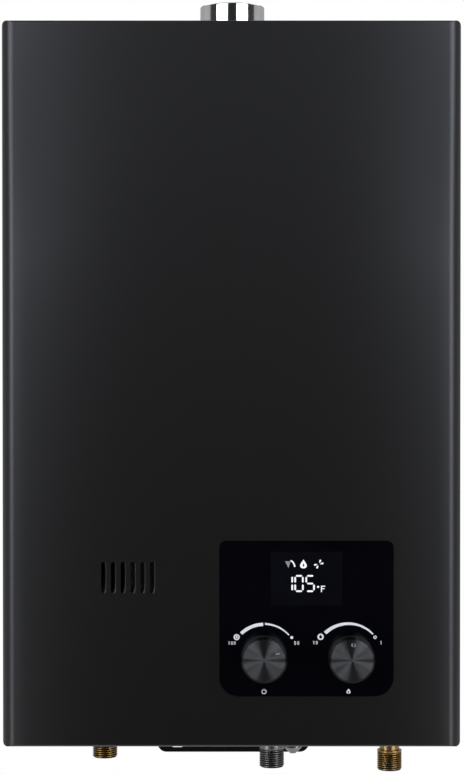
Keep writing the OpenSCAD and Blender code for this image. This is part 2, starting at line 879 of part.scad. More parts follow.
// Closed form of the casing, drawn in by inset and ending back from the wall plane
module casing_form(inset, back) {
    w = casing_w - 2 * inset;
    h = casing_h - 2 * inset;
    d = casing_d - inset - back;
    translate([0, front_y + inset, inset]) intersection() {
        linear_extrude(h) round_rect(w, d, edge_r - inset, 0);
        facing(d) linear_extrude(d) round_rect(w, h, corner_r - inset, corner_r - inset);
        translate([w / 2, 0, h / 2]) rotate([0, -90, 0]) linear_extrude(w) round_rect(h, d, lip_r - inset, 0);
    }
}

module panel_outline(grow) {
    translate([panel_x, panel_z - panel_h / 2 - grow])
        round_rect(panel_w + 2 * grow, panel_h + 2 * grow, panel_low_r + grow, panel_top_r + grow);
}

module front_cover() {
    color("#232325") difference() {
        casing_form(0, cover_gap);
        casing_form(sheet, -over);
        translate([-casing_w / 2 + sheet, front_y + return_d, -over])
            cube([casing_w - 2 * sheet, casing_d, casing_h + 2 * over]);
        facing(inside_y + over) linear_extrude(sheet + 2 * over) {
            panel_outline(clear);
            for (i = [0 : louvre_n - 1])
                translate([louvre_x + (i - (louvre_n - 1) / 2) * louvre_pitch, louvre_z])
                    rotate(90) obround(louvre_h, louvre_w);
        }
        for (side = [-1, 1]) translate([side * cover_screw_x, cover_screw_y, -over])
            cylinder(r = edge_screw_r + clear, h = casing_h + 2 * over);
    }
}

// Chassis

module bead_outline(grow) {
    for (i = [0 : bead_n - 1])
        translate([0, bead_z + i * bead_pitch]) obround(bead_len + 2 * grow, bead_w + 2 * grow);
}

module back_plate() {
    color("#1d1d1f") difference() {
        union() {
            facing(0) linear_extrude(sheet) {
                translate([-plate_w / 2, base_low]) square([plate_w, roof_top - base_low]);
                translate([0, -tab_drop]) round_rect(tab_w, tab_drop + base_top, tab_r, 0);
                translate([0, roof_low]) round_rect(tab_w, casing_h + tab_rise - roof_low, 0, tab_r);
            }
            facing(-sheet) linear_extrude(bead_rise) bead_outline(0);
            for (side = [-1, 1])
                translate([side * (plate_w - sheet) / 2 - sheet / 2, -sheet - flange_d, base_top])
                    cube([sheet, flange_d, roof_low - base_top]);
        }
        facing(over) linear_extrude(bead_rise + over) bead_outline(-sheet);
        facing(over) linear_extrude(sheet + 2 * over)
            for (x = [-1, 1], z = [slot_edge - tab_drop, casing_h + tab_rise - slot_edge])
                translate([x * slot_spacing / 2, z]) obround(slot_len, slot_w);
    }
}

// Flat plate with turned edges, inside the cover's bends
module turned_plate(z, edge_z) {
    depth = -sheet - plate_front;
    translate([0, plate_front, z]) linear_extrude(sheet)
        round_rect(shelf_w, depth, edge_r - sheet - clear, 0);
    for (y = [plate_front, -2 * sheet])
        translate([-shelf_w / 2 + flange_d, y, edge_z]) cube([shelf_w - 2 * flange_d, sheet, upturn]);
}

module cover_screw_holes(z) {
    for (side = [-1, 1]) translate([side * cover_screw_x, cover_screw_y, z - over])
        cylinder(r = edge_screw_r + fit, h = sheet + 2 * over);
}

module top_plate() {
    color("#232325") difference() {
        turned_plate(roof_low, roof_low - upturn);
        translate([0, -flue_y, roof_low - over]) cylinder(r = flue_bore_r, h = sheet + 2 * over);
        flue_screw_places() translate([0, 0, roof_low - over])
            cylinder(r = edge_screw_r + fit, h = sheet + 2 * over);
        cover_screw_holes(roof_low);
    }
}

module base_plate() {
    pitch = (shelf_w - 2 * flange_d) / air_slot_n;
    color("#232325") difference() {
        turned_plate(base_low, base_top);
        for (x = [hot_x, gas_x, cold_x]) translate([x, -fitting_y, 0])
            cylinder(r = thread_r + clear, h = base_top + over);
        translate([drain_x, -drain_y, 0]) cylinder(r = drain_body_r + clear, h = base_top + over);
        translate([gland_x, -gland_y, 0]) cylinder(r = gland_r + clear, h = base_top + over);
        linear_extrude(base_top + over) for (i = [0 : air_slot_n - 1])
            translate([(i - (air_slot_n - 1) / 2) * pitch, -air_slot_y])
                rotate(90) obround(air_slot_len, air_slot_w);
        cover_screw_holes(base_low);
    }
}

// Pan-head screw, head above the origin and shank below it
module pan_screw(shank) {
    cylinder(r = screw_head_r, h = screw_head_h);
    translate([0, 0, -shank]) cylinder(r = edge_screw_r, h = shank);
}

module cover_screws() {
    shank = 2 * sheet + clear + screw_grip;
    color("#55585c") for (side = [-1, 1]) {
        translate([side * cover_screw_x, cover_screw_y, casing_h]) pan_screw(shank);
        translate([side * cover_screw_x, cover_screw_y, 0]) mirror([0, 0, 1]) pan_screw(shank);
    }
}

// Flue

module flue_screw_places() {
    for (i = [0 : flue_screw_n - 1])
        translate([0, -flue_y, 0]) rotate(i * 360 / flue_screw_n)
            translate([flue_screw_ring, 0, 0]) children();
}

module flue_collar() {
    color("#d6d8da") difference() {
        translate([0, -flue_y, 0]) rotate_extrude() polygon([
            [flue_bore_r, flange_low], [flue_flange_d / 2, flange_low], [flue_flange_d / 2, flange_top],
            [flue_r, flange_top], [flue_r, collar_top - flue_bevel], [flue_r - flue_bevel, collar_top],
            [flue_bore_r, collar_top]
        ]);
        flue_screw_places() translate([0, 0, flange_low - over])
            cylinder(r = edge_screw_r + fit, h = flue_flange_t + 2 * over);
    }
}

module flue_gasket() {
    color("#3a3532") difference() {
        translate([0, -flue_y, roof_top]) cylinder(d = flue_flange_d, h = gasket_t);
        translate([0, -flue_y, roof_top - over]) cylinder(r = flue_bore_r, h = gasket_t + 2 * over);
        flue_screw_places() translate([0, 0, roof_top - over])
            cylinder(r = edge_screw_r + fit, h = gasket_t + 2 * over);
    }
}

module flue_screws() {
    color("#9fa2a6") flue_screw_places() translate([0, 0, flange_top])
        pan_screw(flange_top - roof_low + screw_grip);
}

// Fan

function scroll_at(a) = scroll_r + (scroll_end - scroll_r) * (a - scroll_from) / (scroll_to - scroll_from);

// Outline of the scroll and its outlet, from the tongue round to the outlet's far wall
module scroll_outline(wall, start) {
    polygon(concat(
        [for (a = [start : scroll_step : scroll_to]) polar(scroll_at(a) + wall, a)],
        [[scroll_end + wall, outlet_rise], [scroll_end - outlet_w - wall, outlet_rise]]
    ));
}

module fan_housing() {
    color("#a9adb1") {
        translate([fan_x, 0, fan_z]) difference() {
            facing(fan_back) linear_extrude(fan_d) scroll_outline(scroll_wall, scroll_from + scroll_step);
            facing(fan_back - scroll_wall) linear_extrude(fan_d - 2 * scroll_wall) {
                scroll_outline(0, scroll_from);
                translate([scroll_end - outlet_w, outlet_rise - over]) square([outlet_w, 2 * over]);
            }
            facing(fan_back + over) cylinder(r = eye_r, h = scroll_wall + 2 * over);
            facing(fan_front + scroll_wall + over) cylinder(r = 2 * shaft_r, h = scroll_wall + 2 * over);
        }
        translate([tapping_x, -flue_y, tapping_z]) rotate([0, 90, 0]) linear_extrude(nipple_len)
            ring(nipple_r, nipple_r / 2);
    }
}

// One forward-curved blade
module blade_outline() {
    steps = [0 : 0.25 : 1];
    back = [1 : -0.25 : 0];
    tip_r = impeller_r - blade_t / 2;
    half = blade_t / impeller_r * 90 / PI;
    polygon(concat(
        [for (t = steps) polar(blade_root_r + (tip_r - blade_root_r) * t, blade_sweep * t * t + half)],
        [for (t = back) polar(blade_root_r + (tip_r - blade_root_r) * t, blade_sweep * t * t - half)]
    ));
}

module fan_impeller() {
    disc_t = 1.5 * blade_t;
    color("#8f9397") translate([fan_x, 0, fan_z]) difference() {
        union() {
            facing(disc_front + disc_t) cylinder(r = impeller_r, h = disc_t);
            facing(disc_front + hub_len) cylinder(r = hub_r, h = hub_len);
            facing(ring_back) linear_extrude(ring_back - disc_front - disc_t)
                for (i = [0 : blade_n - 1]) rotate(i * 360 / blade_n) blade_outline();
            facing(ring_back) linear_extrude(2 * blade_t) difference() {
                circle(impeller_r);
                circle(blade_root_r - blade_t);
            }
        }
        facing(disc_front + hub_len + over) cylinder(r = shaft_r + fit, h = hub_len + 2 * over);
    }
}

module fan_shaft() {
    color("#c8cacc") translate([fan_x, 0, fan_z]) facing(disc_front + hub_len)
        cylinder(r = shaft_r, h = disc_front + hub_len - fan_front + motor_len - motor_shell - fit);
}

// Motor with a bevelled front, radial cooling slots and feet on the fan housing
module fan_motor() {
    slot_from = 2 * shaft_r + motor_slot_w;
    slot_to = motor_r - motor_bell - motor_slot_w;
    color("#6e7276") translate([fan_x, 0, fan_z]) facing(fan_front) difference() {
        union() {
            rotate_extrude() polygon([
                [0, 0], [motor_r, 0], [motor_r, motor_len - motor_bell],
                [motor_r - motor_bell, motor_len], [0, motor_len]
            ]);
            linear_extrude(motor_shell) for (i = [0 : motor_foot_n - 1]) rotate(90 + i * 360 / motor_foot_n)
                translate([(motor_r + motor_foot) / 2, 0]) obround(motor_r + motor_foot, 2 * motor_foot);
        }
        translate([0, 0, -over]) cylinder(r = shaft_r + fit, h = motor_len - motor_shell + over);
        for (i = [0 : motor_foot_n - 1]) rotate(90 + i * 360 / motor_foot_n)
            translate([motor_r + motor_foot / 2, 0, -over])
                cylinder(r = edge_screw_r, h = motor_shell + 2 * over);
        translate([0, 0, motor_len - motor_shell]) linear_extrude(motor_shell + over)
            for (i = [0 : motor_slot_n - 1]) rotate(i * 360 / motor_slot_n)
                translate([(slot_from + slot_to) / 2, 0]) obround(slot_to - slot_from, motor_slot_w);
    }
}

module smoke_hood() {
    t = chamber_t;
    riser_d = chamber_back - fan_back;
    color("#b4b0aa") difference() {
        union() {
            sideways(-chamber_w / 2) linear_extrude(chamber_w) polygon([
                [chamber_front, hood_z], [chamber_back, hood_z], [chamber_back, hood_top],
                [fan_back, hood_top], [chamber_front, hood_z + hood_lip]
            ]);
            translate([riser_x, fan_back, hood_z]) cube([riser_w, riser_d, riser_top - hood_z]);
        }
        sideways(-chamber_w / 2 + t) linear_extrude(chamber_w - 2 * t) polygon([
            [chamber_front + t, hood_z - over], [chamber_back - t, hood_z - over],
            [chamber_back - t, hood_top - t], [fan_back, hood_top - t],
            [chamber_front + t, hood_z + hood_lip - t]
        ]);
        translate([riser_x + t, fan_back + t, hood_z - over])
            cube([riser_w - 2 * t, riser_d - 2 * t, riser_top - hood_z - t + over]);
        translate([fan_x, 0, fan_z]) facing(fan_back + t + over) cylinder(r = eye_r, h = t + 2 * over);
    }
}

// Heat exchanger

// Fin with holes for the tubes and notches between them along the top
module fin_outline() {
    difference() {
        translate([chamber_front, fin_z]) square([chamber_d, fin_h]);
        for (i = [0 : tube_n - 1]) translate([row_y(i), tube_z]) circle(tube_r + fit);
        for (i = [0 : tube_n - 2]) translate([row_y(i + 0.5), hood_z]) circle(fin_notch_r);
    }
}

module exchanger_fins() {
    end_t = 2 * fin_t;
    pitch = (fin_span - fin_t) / (fin_n - 1);
    color("#b87345") {
        for (i = [0 : fin_n - 1]) sideways(-fin_span / 2 + i * pitch) linear_extrude(fin_t) fin_outline();
        for (x = [-chamber_w / 2, chamber_w / 2 - end_t]) sideways(x) linear_extrude(end_t) fin_outline();
    }
}

function row_y(i) = tube_row - i * tube_pitch;
function row_end(i) = i % 2 == 0 ? turn_x : -turn_x;

module exchanger_tubes() {
    route = concat(
        [[-stub_x, row_y(0), tube_z]],
        [for (i = [0 : tube_n - 2], step = [0, 1]) [row_end(i), row_y(i + step), tube_z]],
        [[-stub_x, row_y(tube_n - 1), tube_z]]
    );
    color("#c07a48") pipe_run(route, tube_r, tube_bore, tube_pitch / 2);
}

// Bent copper box with corners that follow the coil's bends, and a flange at each end
module combustion_chamber() {
    bend = pipe_bend - coil_off;
    color("#b9794c") difference() {
        union() {
            chamber_block(0, chamber_z, chamber_h, bend);
            for (z = [chamber_z, fin_z - chamber_t])
                chamber_block(chamber_flange, z, chamber_t, bend + chamber_flange);
        }
        chamber_block(-chamber_t, chamber_z - over, chamber_h + 2 * over, bend - chamber_t);
        for (x = electrode_xs) translate([x, 0, electrode_z]) facing(chamber_front + chamber_t + over)
            cylinder(r = electrode_r + fit, h = chamber_t + 2 * over);
    }
}

module chamber_block(grow, z, height, r) {
    translate([0, chamber_front - grow, z]) linear_extrude(height)
        round_rect(chamber_w + 2 * grow, chamber_d + 2 * grow, r, r);
}

module chamber_brackets() {
    foot = bracket_foot;
    t = bracket_t;
    color("#9fa2a6") for (side = [-1, 1])
        translate([side * bracket_x, 0, fin_z - bracket_h - bracket_drop]) linear_extrude(bracket_h)
            polygon([
                [-foot, -sheet], [t, -sheet], [t, chamber_back + t], [foot, chamber_back + t],
                [foot, chamber_back], [0, chamber_back], [0, -sheet - t], [-foot, -sheet - t]
            ]);
}

module chamber_coil() {
    color("#c07a48") pipe_run([
        [cold_x, -fitting_y, coil_start], [cold_x, -fitting_y, coil_low],
        [cold_x, coil_front, coil_low], [coil_left, coil_front, coil_low],
        [coil_left, coil_back, coil_low], [cold_x, coil_back, coil_low],
        [cold_x, coil_back, coil_high], [cold_x, coil_front, coil_high],
        [coil_end_x, coil_front, coil_high], [coil_end_x, row_y(0), coil_high],
        [coil_end_x, row_y(0), tube_z], [-stub_x, row_y(0), tube_z]
    ], tube_r, tube_bore, pipe_bend);
}

// Burner

function bar_x(i) = (i - (bar_n - 1) / 2) * bar_pitch;

module burner_frame() {
    color("#8c8f92") difference() {
        union() {
            difference() {
                translate([-chamber_w / 2, chamber_front, burner_z]) cube([chamber_w, chamber_d, burner_h]);
                translate([-chamber_w / 2 + chamber_t, chamber_front + chamber_t, burner_z - over])
                    cube([chamber_w - 2 * chamber_t, chamber_d - 2 * chamber_t, burner_h + 2 * over]);
            }
            for (y = [chamber_front + rail_w, chamber_back - 2 * rail_w])
                translate([-chamber_w / 2, y, burner_z]) cube([chamber_w, rail_w, bar_seat]);
        }
        for (i = [0 : bar_n - 1]) translate([bar_x(i), 0, nozzle_z]) facing(chamber_front + chamber_t + over)
            cylinder(r = nozzle_r + nozzle_gap, h = chamber_t + 2 * over);
    }
}

// Side view of a burner bar: a flared mouth in front, a throat, and a ported top
module bar_outline() {
    mouth = chamber_front + bar_gap;
    tail = chamber_back - bar_gap;
    throat = mouth + bar_flare;
    port_pitch = (tail - mouth) / (port_n + 1);
    difference() {
        polygon([
            [mouth, bar_low], [tail - bar_heel, bar_low], [tail, bar_low + bar_heel], [tail, bar_top],
            [mouth, bar_top], [mouth, bar_top - head_front], [throat, bar_top - head_back],
            [throat, nozzle_z + throat_rise], [mouth, nozzle_z + mouth_rise]
        ]);
        for (i = [1 : port_n])
            translate([mouth + i * port_pitch - port_w / 2, bar_top - port_depth])
                square([port_w, port_depth + over]);
    }
}

module burner_bars() {
    color("#a5a8ab") for (i = [0 : bar_n - 1])
        sideways(bar_x(i) - bar_t / 2) linear_extrude(bar_t) bar_outline();
}

module gas_manifold() {
    lug = manifold_lug;
    color("#b7babd") difference() {
        union() {
            translate([-manifold_w / 2, manifold_front, manifold_low])
                cube([manifold_w, manifold_d, manifold_h]);
            for (x = [-manifold_w / 2, manifold_w / 2 - lug])
                translate([x, manifold_back, manifold_low]) cube([lug, manifold_gap, lug]);
        }
        for (i = [0 : bar_n - 1]) translate([bar_x(i), 0, nozzle_z]) facing(manifold_back + over)
            cylinder(r = nozzle_shank_r + fit, h = nozzle_shank + over);
    }
}

module burner_nozzles() {
    color("#c9a24a") for (i = [0 : bar_n - 1])
        translate([bar_x(i), manifold_back, nozzle_z]) rotate([-90, 0, 0]) rotate_extrude() polygon([
            [0, -nozzle_shank], [nozzle_shank_r, -nozzle_shank], [nozzle_shank_r, 0], [nozzle_r, 0],
            [nozzle_r, nozzle_len / 2], [nozzle_r / 2, nozzle_len], [0, nozzle_len]
        ]);
}

module electrode_insulators() {
    color("#e9e5da") for (x = electrode_xs) translate([x, 0, electrode_z]) difference() {
        union() {
            facing(insulator_front + insulator_len) cylinder(r = electrode_r, h = insulator_len);
            facing(chamber_front) cylinder(r = electrode_r + electrode_rim, h = electrode_rim);
        }
        facing(insulator_front + insulator_len + over)
            cylinder(r = rod_r + fit, h = insulator_len + 2 * over);
    }
}

module electrode_rods() {
    color("#b0b3b6") for (x = electrode_xs) translate([x, 0, electrode_z]) facing(chamber_front + rod_in)
        cylinder(r = rod_r, h = chamber_front + rod_in - rod_front);
}

// Boot over an electrode's end, and the start of its lead down to its own level
module electrode_boot(x) {
    translate([x, 0, electrode_z]) difference() {
        facing(insulator_front) cylinder(r = boot_r, h = insulator_front - lead_y + lead_r);
        facing(insulator_front + over) cylinder(r = rod_r + fit, h = rod_out + over);
    }
}

// Leads of the spark electrodes to the igniter, and of the sensing electrode to the controller
module electrode_leads() {
    level = electrode_z - lead_fall;
    sense_z = level - 2 * lead_pitch;
    sense_y = -sheet - igniter_d - lead_side;
    entry_x = box_x - lead_entry;
    entry_y = -sheet - box_d / 2;
    color("#7a2f26") {
        for (i = [0, 1]) {
            x = lead_x - (1 - i) * terminal_pitch;
            z = level - i * lead_pitch;
            electrode_boot(spark_xs[i]);
            pipe_run([
                [spark_xs[i], lead_y, electrode_z], [spark_xs[i], lead_y, z], [x, lead_y, z],
                [x, terminal_y, z], [x, terminal_y, terminal_top]
            ], lead_r, 0, lead_bend);
        }
        electrode_boot(electrode_x);
        pipe_run([
            [electrode_x, lead_y, electrode_z], [electrode_x, lead_y, sense_z], [lead_x, lead_y, sense_z],
            [lead_x, sense_y, sense_z], [lead_x, sense_y, igniter_z], [entry_x, sense_y, igniter_z],
            [entry_x, entry_y, igniter_z], [entry_x, entry_y, box_top]
        ], lead_r, 0, lead_bend);
    }
}

// Gas valve

// Die-cast body with ribbed pockets in front and a boss for the gas spindle
module gas_valve_body() {
    spindle_d = spindle_in + spindle_back;
    color("#c3c6c8") difference() {
        union() {
            translate([valve_x, valve_front, valve_z]) linear_extrude(valve_h)
                round_rect(valve_w, valve_d, valve_r, valve_r);
            translate([gas_knob_x, 0, knob_z]) facing(valve_front + over)
                cylinder(r = spindle_boss_r, h = spindle_boss + over);
        }
        for (i = [0 : valve_pocket_n - 1])
            translate([pocket_left + i * (pocket_w + valve_rib), valve_front - over, valve_z + valve_rib])
                cube([pocket_w, valve_pocket_d + over, valve_h - 2 * valve_rib]);
        translate([gas_knob_x, 0, knob_z]) facing(valve_front + spindle_d)
            cylinder(r = spindle_r + fit, h = spindle_d + spindle_boss + over);
        translate([gas_x, -fitting_y, valve_z - over]) cylinder(r = bore_r, h = valve_port + over);
        translate([valve_x, -fitting_y, valve_top - valve_port])
            cylinder(r = gas_pipe_r - gas_pipe_wall, h = valve_port + over);
    }
}

module gas_solenoid() {
    color("#2f3234") translate([solenoid_x, -fitting_y, valve_top]) difference() {
        union() {
            cylinder(r = solenoid_r, h = solenoid_h);
            cylinder(r = solenoid_r + solenoid_rim, h = solenoid_rim);
        }
        translate([0, 0, plunger_floor]) cylinder(r = plunger_r + fit, h = solenoid_h - 2 * plunger_floor);
    }
}

module gas_plunger() {
    color("#c8cacc") translate([solenoid_x, -fitting_y, valve_top + plunger_floor + plunger_rest])
        cylinder(r = plunger_r, h = plunger_len);
}

module valve_cap() {
    color("#c9a24a") translate([cap_x, -fitting_y, valve_top]) {
        cylinder(r = cap_r, h = cap_h);
        translate([0, 0, cap_h]) cylinder(d = cap_r, h = cap_hex_h, $fn = 6);
    }
}

module gas_pipe() {
    color("#b7babd") pipe_run([
        [valve_x, -fitting_y, valve_top], [valve_x, -fitting_y, gas_cross_z],
        [valve_x, gas_rise_y, gas_cross_z], [valve_x, gas_rise_y, manifold_low]
    ], gas_pipe_r, gas_pipe_r - gas_pipe_wall, gas_bend);
}

// Connections

// Threaded fitting: thread, neck, flange under the base plate, and shank through it
module fitting(x, drop, neck, top) {
    flange_z = base_low - fitting_flange_t;
    translate([x, -fitting_y, 0]) rotate_extrude() polygon([
        [bore_r, -drop], [thread_r - thread_bevel, -drop], [thread_r, thread_bevel - drop],
        [thread_r, thread_len - drop], [neck, thread_len - drop], [neck, flange_z],
        [fitting_flange_r, flange_z], [fitting_flange_r, base_low], [thread_r, base_low],
        [thread_r, top], [bore_r, top]
    ]);
}

module hot_outlet() {
    color("#c69c3f") fitting(hot_x, hot_drop, neck_r, fitting_top);
}

module gas_inlet() {
    color("#9a9da0") fitting(gas_x, gas_drop, thread_r - gas_neck_step, valve_z);
}

module cold_inlet() {
    color("#c69c3f") fitting(cold_x, cold_drop, neck_r, fitting_top);
}

module lock_nuts() {
    color("#c9a24a") for (x = [hot_x, gas_x, cold_x])
        translate([x, -fitting_y, base_top]) hex_nut(nut_d, nut_h, thread_r + fit);
}

// Water

// Sensor body with its drain boss, its pickup, and the spider and axle that carry the turbine
module flow_sensor_body() {
    boss_len = drain_boss_y + fitting_y;
    color("#d8d3c4") translate([cold_x, -fitting_y, 0]) {
        difference() {
            union() {
                translate([0, 0, fitting_top]) cylinder(r = sensor_r, h = sensor_h);
                translate([0, 0, drain_cross_z]) rotate([-90, 0, 0]) cylinder(r = drain_boss_r, h = boss_len);
                translate([-pickup_w / 2, -sensor_r - pickup_d, turbine_z])
                    cube([pickup_w, sensor_r + pickup_d, pickup_h]);
            }
            translate([0, 0, fitting_top - over])
                cylinder(r = sensor_bore_r, h = sensor_h - sensor_collar + over);
            translate([0, 0, fitting_top]) cylinder(r = tube_bore, h = sensor_h + over);
            translate([0, 0, drain_cross_z]) rotate([-90, 0, 0])
                cylinder(r = drain_way_r, h = boss_len + over);
        }
        translate([0, 0, spider_z]) linear_extrude(spider_t) intersection() {
            circle(sensor_bore_r + over);
            for (a = [0, 90]) rotate(a) square([2 * sensor_r, 2 * axle_r], center = true);
        }
        translate([0, 0, spider_z]) cylinder(r = 2 * axle_r, h = spider_t);
        translate([0, 0, spider_z]) cylinder(r = axle_r, h = turbine_z - spider_z + turbine_h + turbine_gap);
    }
}

module flow_turbine() {
    t = turbine_t;
    color("#4a6f8f") translate([cold_x, -fitting_y, turbine_z]) difference() {
        intersection() {
            union() {
                cylinder(r = 3 * axle_r, h = turbine_h);
                for (i = [0 : turbine_n - 1]) rotate(i * 360 / turbine_n)
                    translate([0, 0, turbine_h / 2]) rotate([turbine_slant, 0, 0])
                    translate([0, -t / 2, -turbine_h]) cube([turbine_r + over, t, 2 * turbine_h]);
            }
            cylinder(r = turbine_r, h = turbine_h);
        }
        translate([0, 0, -over]) cylinder(r = axle_r + fit, h = turbine_h + 2 * over);
    }
}

module cold_pipe() {
    color("#c07a48") pipe_run(
        [[cold_x, -fitting_y, sensor_top], [cold_x, -fitting_y, coil_start]], tube_r, tube_bore, pipe_bend);
}

module hot_pipe() {
    color("#c07a48") pipe_run([
        [hot_x, -fitting_y, fitting_top], [hot_x, -fitting_y, hot_cross_z],
        [hot_rise_x, -fitting_y, hot_cross_z], [hot_rise_x, row_y(tube_n - 1), hot_cross_z],
        [hot_rise_x, row_y(tube_n - 1), tube_z], [-stub_x, row_y(tube_n - 1), tube_z]
    ], tube_r, tube_bore, pipe_bend);
}

// Nuts on the ends of the water pipes and of the gas pipe
module pipe_nuts() {
    color("#c9a24a") {
        for (place = [[cold_x, sensor_top], [hot_x, fitting_top], [cold_x, coil_start - nut_h / 2]])
            translate([place.x, -fitting_y, place.y]) hex_nut(pipe_nut_d, nut_h, tube_r + fit);
        translate([valve_x, -fitting_y, valve_top]) hex_nut(gas_nut_d, nut_h, gas_pipe_r + fit);
        translate([valve_x, gas_rise_y, manifold_low - nut_h]) hex_nut(gas_nut_d, nut_h, gas_pipe_r + fit);
    }
}

module drain_valve() {
    color("#c69c3f") translate([drain_x, -drain_y, 0]) rotate_extrude() polygon([
        [drain_way_r, plug_top], [drain_flange_r, plug_top], [drain_flange_r, base_low],
        [drain_body_r, base_low], [drain_body_r, drain_top], [drain_way_r, drain_top]
    ]);
}

module drain_pipe() {
    color("#c07a48") pipe_run([
        [cold_x, drain_boss_y, drain_cross_z], [cold_x, -drain_y, drain_cross_z],
        [drain_x, -drain_y, drain_cross_z], [drain_x, -drain_y, drain_top]
    ], drain_pipe_r, drain_way_r, drain_boss_r);
}

module drain_plug() {
    spigot_r = drain_way_r - fit;
    color("#c4c7c9") translate([drain_x, -drain_y, 0]) rotate_extrude() polygon([
        [0, -drain_drop], [drain_tip_r, -drain_drop], [drain_r, drain_taper - drain_drop],
        [drain_r, plug_top],
        [spigot_r, plug_top], [spigot_r, plug_top + drain_spigot], [0, plug_top + drain_spigot]
    ]);
}

// Electrics

// Open box against the wall plate, with a screw ear above and below
module controller_box() {
    color("#d9d9d4") translate([box_x, -sheet, box_z]) rotate([90, 0, 0]) difference() {
        union() {
            linear_extrude(box_d) round_rect(box_w, box_h, box_r, box_r);
            linear_extrude(box_wall) translate([0, box_h / 2]) rotate(90)
                obround(box_h + 2 * box_ear, 2 * box_ear);
        }
        translate([0, box_wall, box_wall]) linear_extrude(box_d)
            round_rect(box_w - 2 * box_wall, box_h - 2 * box_wall, box_r - box_wall, box_r - box_wall);
        for (y = [-box_ear / 2, box_h + box_ear / 2]) translate([0, y, -over])
            cylinder(r = edge_screw_r + clear, h = box_wall + 2 * over);
    }
}

module controller_lid() {
    color("#c9c9c4") translate([box_x, -sheet - box_d, box_z]) rotate([90, 0, 0]) linear_extrude(lid_t)
        difference() {
            round_rect(box_w, box_h, box_r, box_r);
            for (i = [0 : lid_slot_n - 1])
                translate([(i - (lid_slot_n - 1) / 2) * lid_slot_pitch, box_h - lid_slot_drop])
                    rotate(90) obround(lid_slot_len, lid_slot_w);
        }
}

module igniter() {
    color("#26282b") {
        translate([igniter_x, -sheet - igniter_d, igniter_z]) cube([igniter_w, igniter_d, igniter_w]);
        for (i = [0, 1]) translate([lead_x - i * terminal_pitch, terminal_y, igniter_z + igniter_w])
            cylinder(r = terminal_r, h = terminal_h);
    }
}

module pressure_switch() {
    color("#33363a") translate([switch_x, 0, switch_z]) {
        facing(-sheet) cylinder(r = switch_r, h = switch_h);
        facing(-sheet - switch_h) cylinder(r = switch_r - switch_step, h = switch_cap_h);
        facing(switch_front) cylinder(r = nipple_r, h = nipple_len);
    }
}

// Hose from the pressure switch to the tapping on the fan's outlet
module pressure_hose() {
    color("#8f8a80") pipe_run([
        [switch_x, switch_front, switch_z], [switch_x, -flue_y, switch_z],
        [switch_x, -flue_y, tapping_z], [tapping_x, -flue_y, tapping_z]
    ], nipple_r + fit + hose_wall, nipple_r + fit, hose_bend);
}

module thermostat() {
    color("#c8cacc") translate([chamber_w / 2, chamber_mid, fin_z - thermostat_drop]) rotate([0, 90, 0]) {
        cylinder(r = thermostat_r, h = thermostat_t);
        translate([0, 0, thermostat_t]) cylinder(r = thermostat_r - thermostat_t, h = thermostat_h);
    }
}

module cable_gland() {
    rim_r = gland_r + gland_rim;
    inner_top = base_top + gland_taper;
    color("#2a2a2c") translate([gland_x, -gland_y, 0]) rotate_extrude() polygon([
        [gland_way_r, -gland_drop], [gland_r, -gland_drop], [rim_r, gland_taper - gland_drop],
        [rim_r, base_low], [gland_r, base_low], [gland_r, base_top], [rim_r, base_top],
        [rim_r, inner_top], [gland_way_r, inner_top]
    ]);
}

// Control panel

module control_panel() {
    color("#101012") difference() {
        union() {
            facing(inside_y) linear_extrude(sheet + panel_proud) panel_outline(0);
            facing(panel_back) linear_extrude(panel_flange_t) panel_outline(panel_rim);
        }
        translate([window_x, 0, window_z]) {
            facing(panel_front + window_t) linear_extrude(window_t + over)
                square([window_w + 2 * fit, window_h + 2 * fit], center = true);
            facing(panel_back + over) linear_extrude(casing_d)
                square([window_w - 2 * window_ledge, window_h - 2 * window_ledge], center = true);
        }
        for (x = [power_x, gas_knob_x]) translate([x, 0, knob_z]) facing(panel_back + over)
            cylinder(r = spindle_r + clear, h = casing_d);
    }
}

module display_window() {
    color("#1b1c1f") translate([window_x, 0, window_z]) facing(panel_front + window_t)
        linear_extrude(window_t) square([window_w, window_h], center = true);
}

module display_module() {
    w = window_w - 2 * window_ledge + 2 * display_rim;
    h = window_h - 2 * window_ledge + 2 * display_rim;
    color("#26302a") translate([window_x, 0, window_z]) facing(panel_back + display_d)
        linear_extrude(display_d) square([w, h], center = true);
}

module power_selector() {
    color("#3b3e42") translate([power_x, 0, knob_z]) facing(panel_back + selector_d)
        linear_extrude(selector_d) difference() {
            translate([0, -selector_w / 2]) round_rect(selector_w, selector_w, selector_r, selector_r);
            circle(spindle_r + fit);
        }
}

// Cupped knob with a spindle boss and a pointer dimple in its face
module knob(x, mark) {
    bore = spindle_r + fit;
    floor_z = knob_h - knob_face;
    rim_in = knob_r - knob_wall;
    ball_r = (dimple_r * dimple_r + dimple_d * dimple_d) / (2 * dimple_d);
    translate([x, 0, knob_z]) facing(knob_back) difference() {
        rotate_extrude() polygon([
            [bore, 0], [knob_boss_r, 0], [knob_boss_r, floor_z], [rim_in, floor_z], [rim_in, 0],
            [knob_r, 0], [knob_r, knob_h - knob_chamfer], [knob_r - knob_chamfer, knob_h],
            [0, knob_h], [0, floor_z], [bore, floor_z]
        ]);
        rotate(-mark) translate([0, dimple_ring, knob_h + ball_r - dimple_d]) sphere(ball_r);
    }
}

module power_knob() {
    color("#3a3b3d") knob(power_x, power_mark);
}

module gas_knob() {
    color("#3a3b3d") knob(gas_knob_x, gas_mark);
}

// Spindle from inside its knob back to an inner end
module spindle(x, inner_end) {
    translate([x, 0, knob_z]) facing(inner_end) cylinder(r = spindle_r, h = inner_end - spindle_tip);
}

module power_spindle() {
    color("#c8cacc") spindle(power_x, panel_back + selector_d - spindle_back);
}

module gas_spindle() {
    color("#c8cacc") spindle(gas_knob_x, valve_front + spindle_in);
}

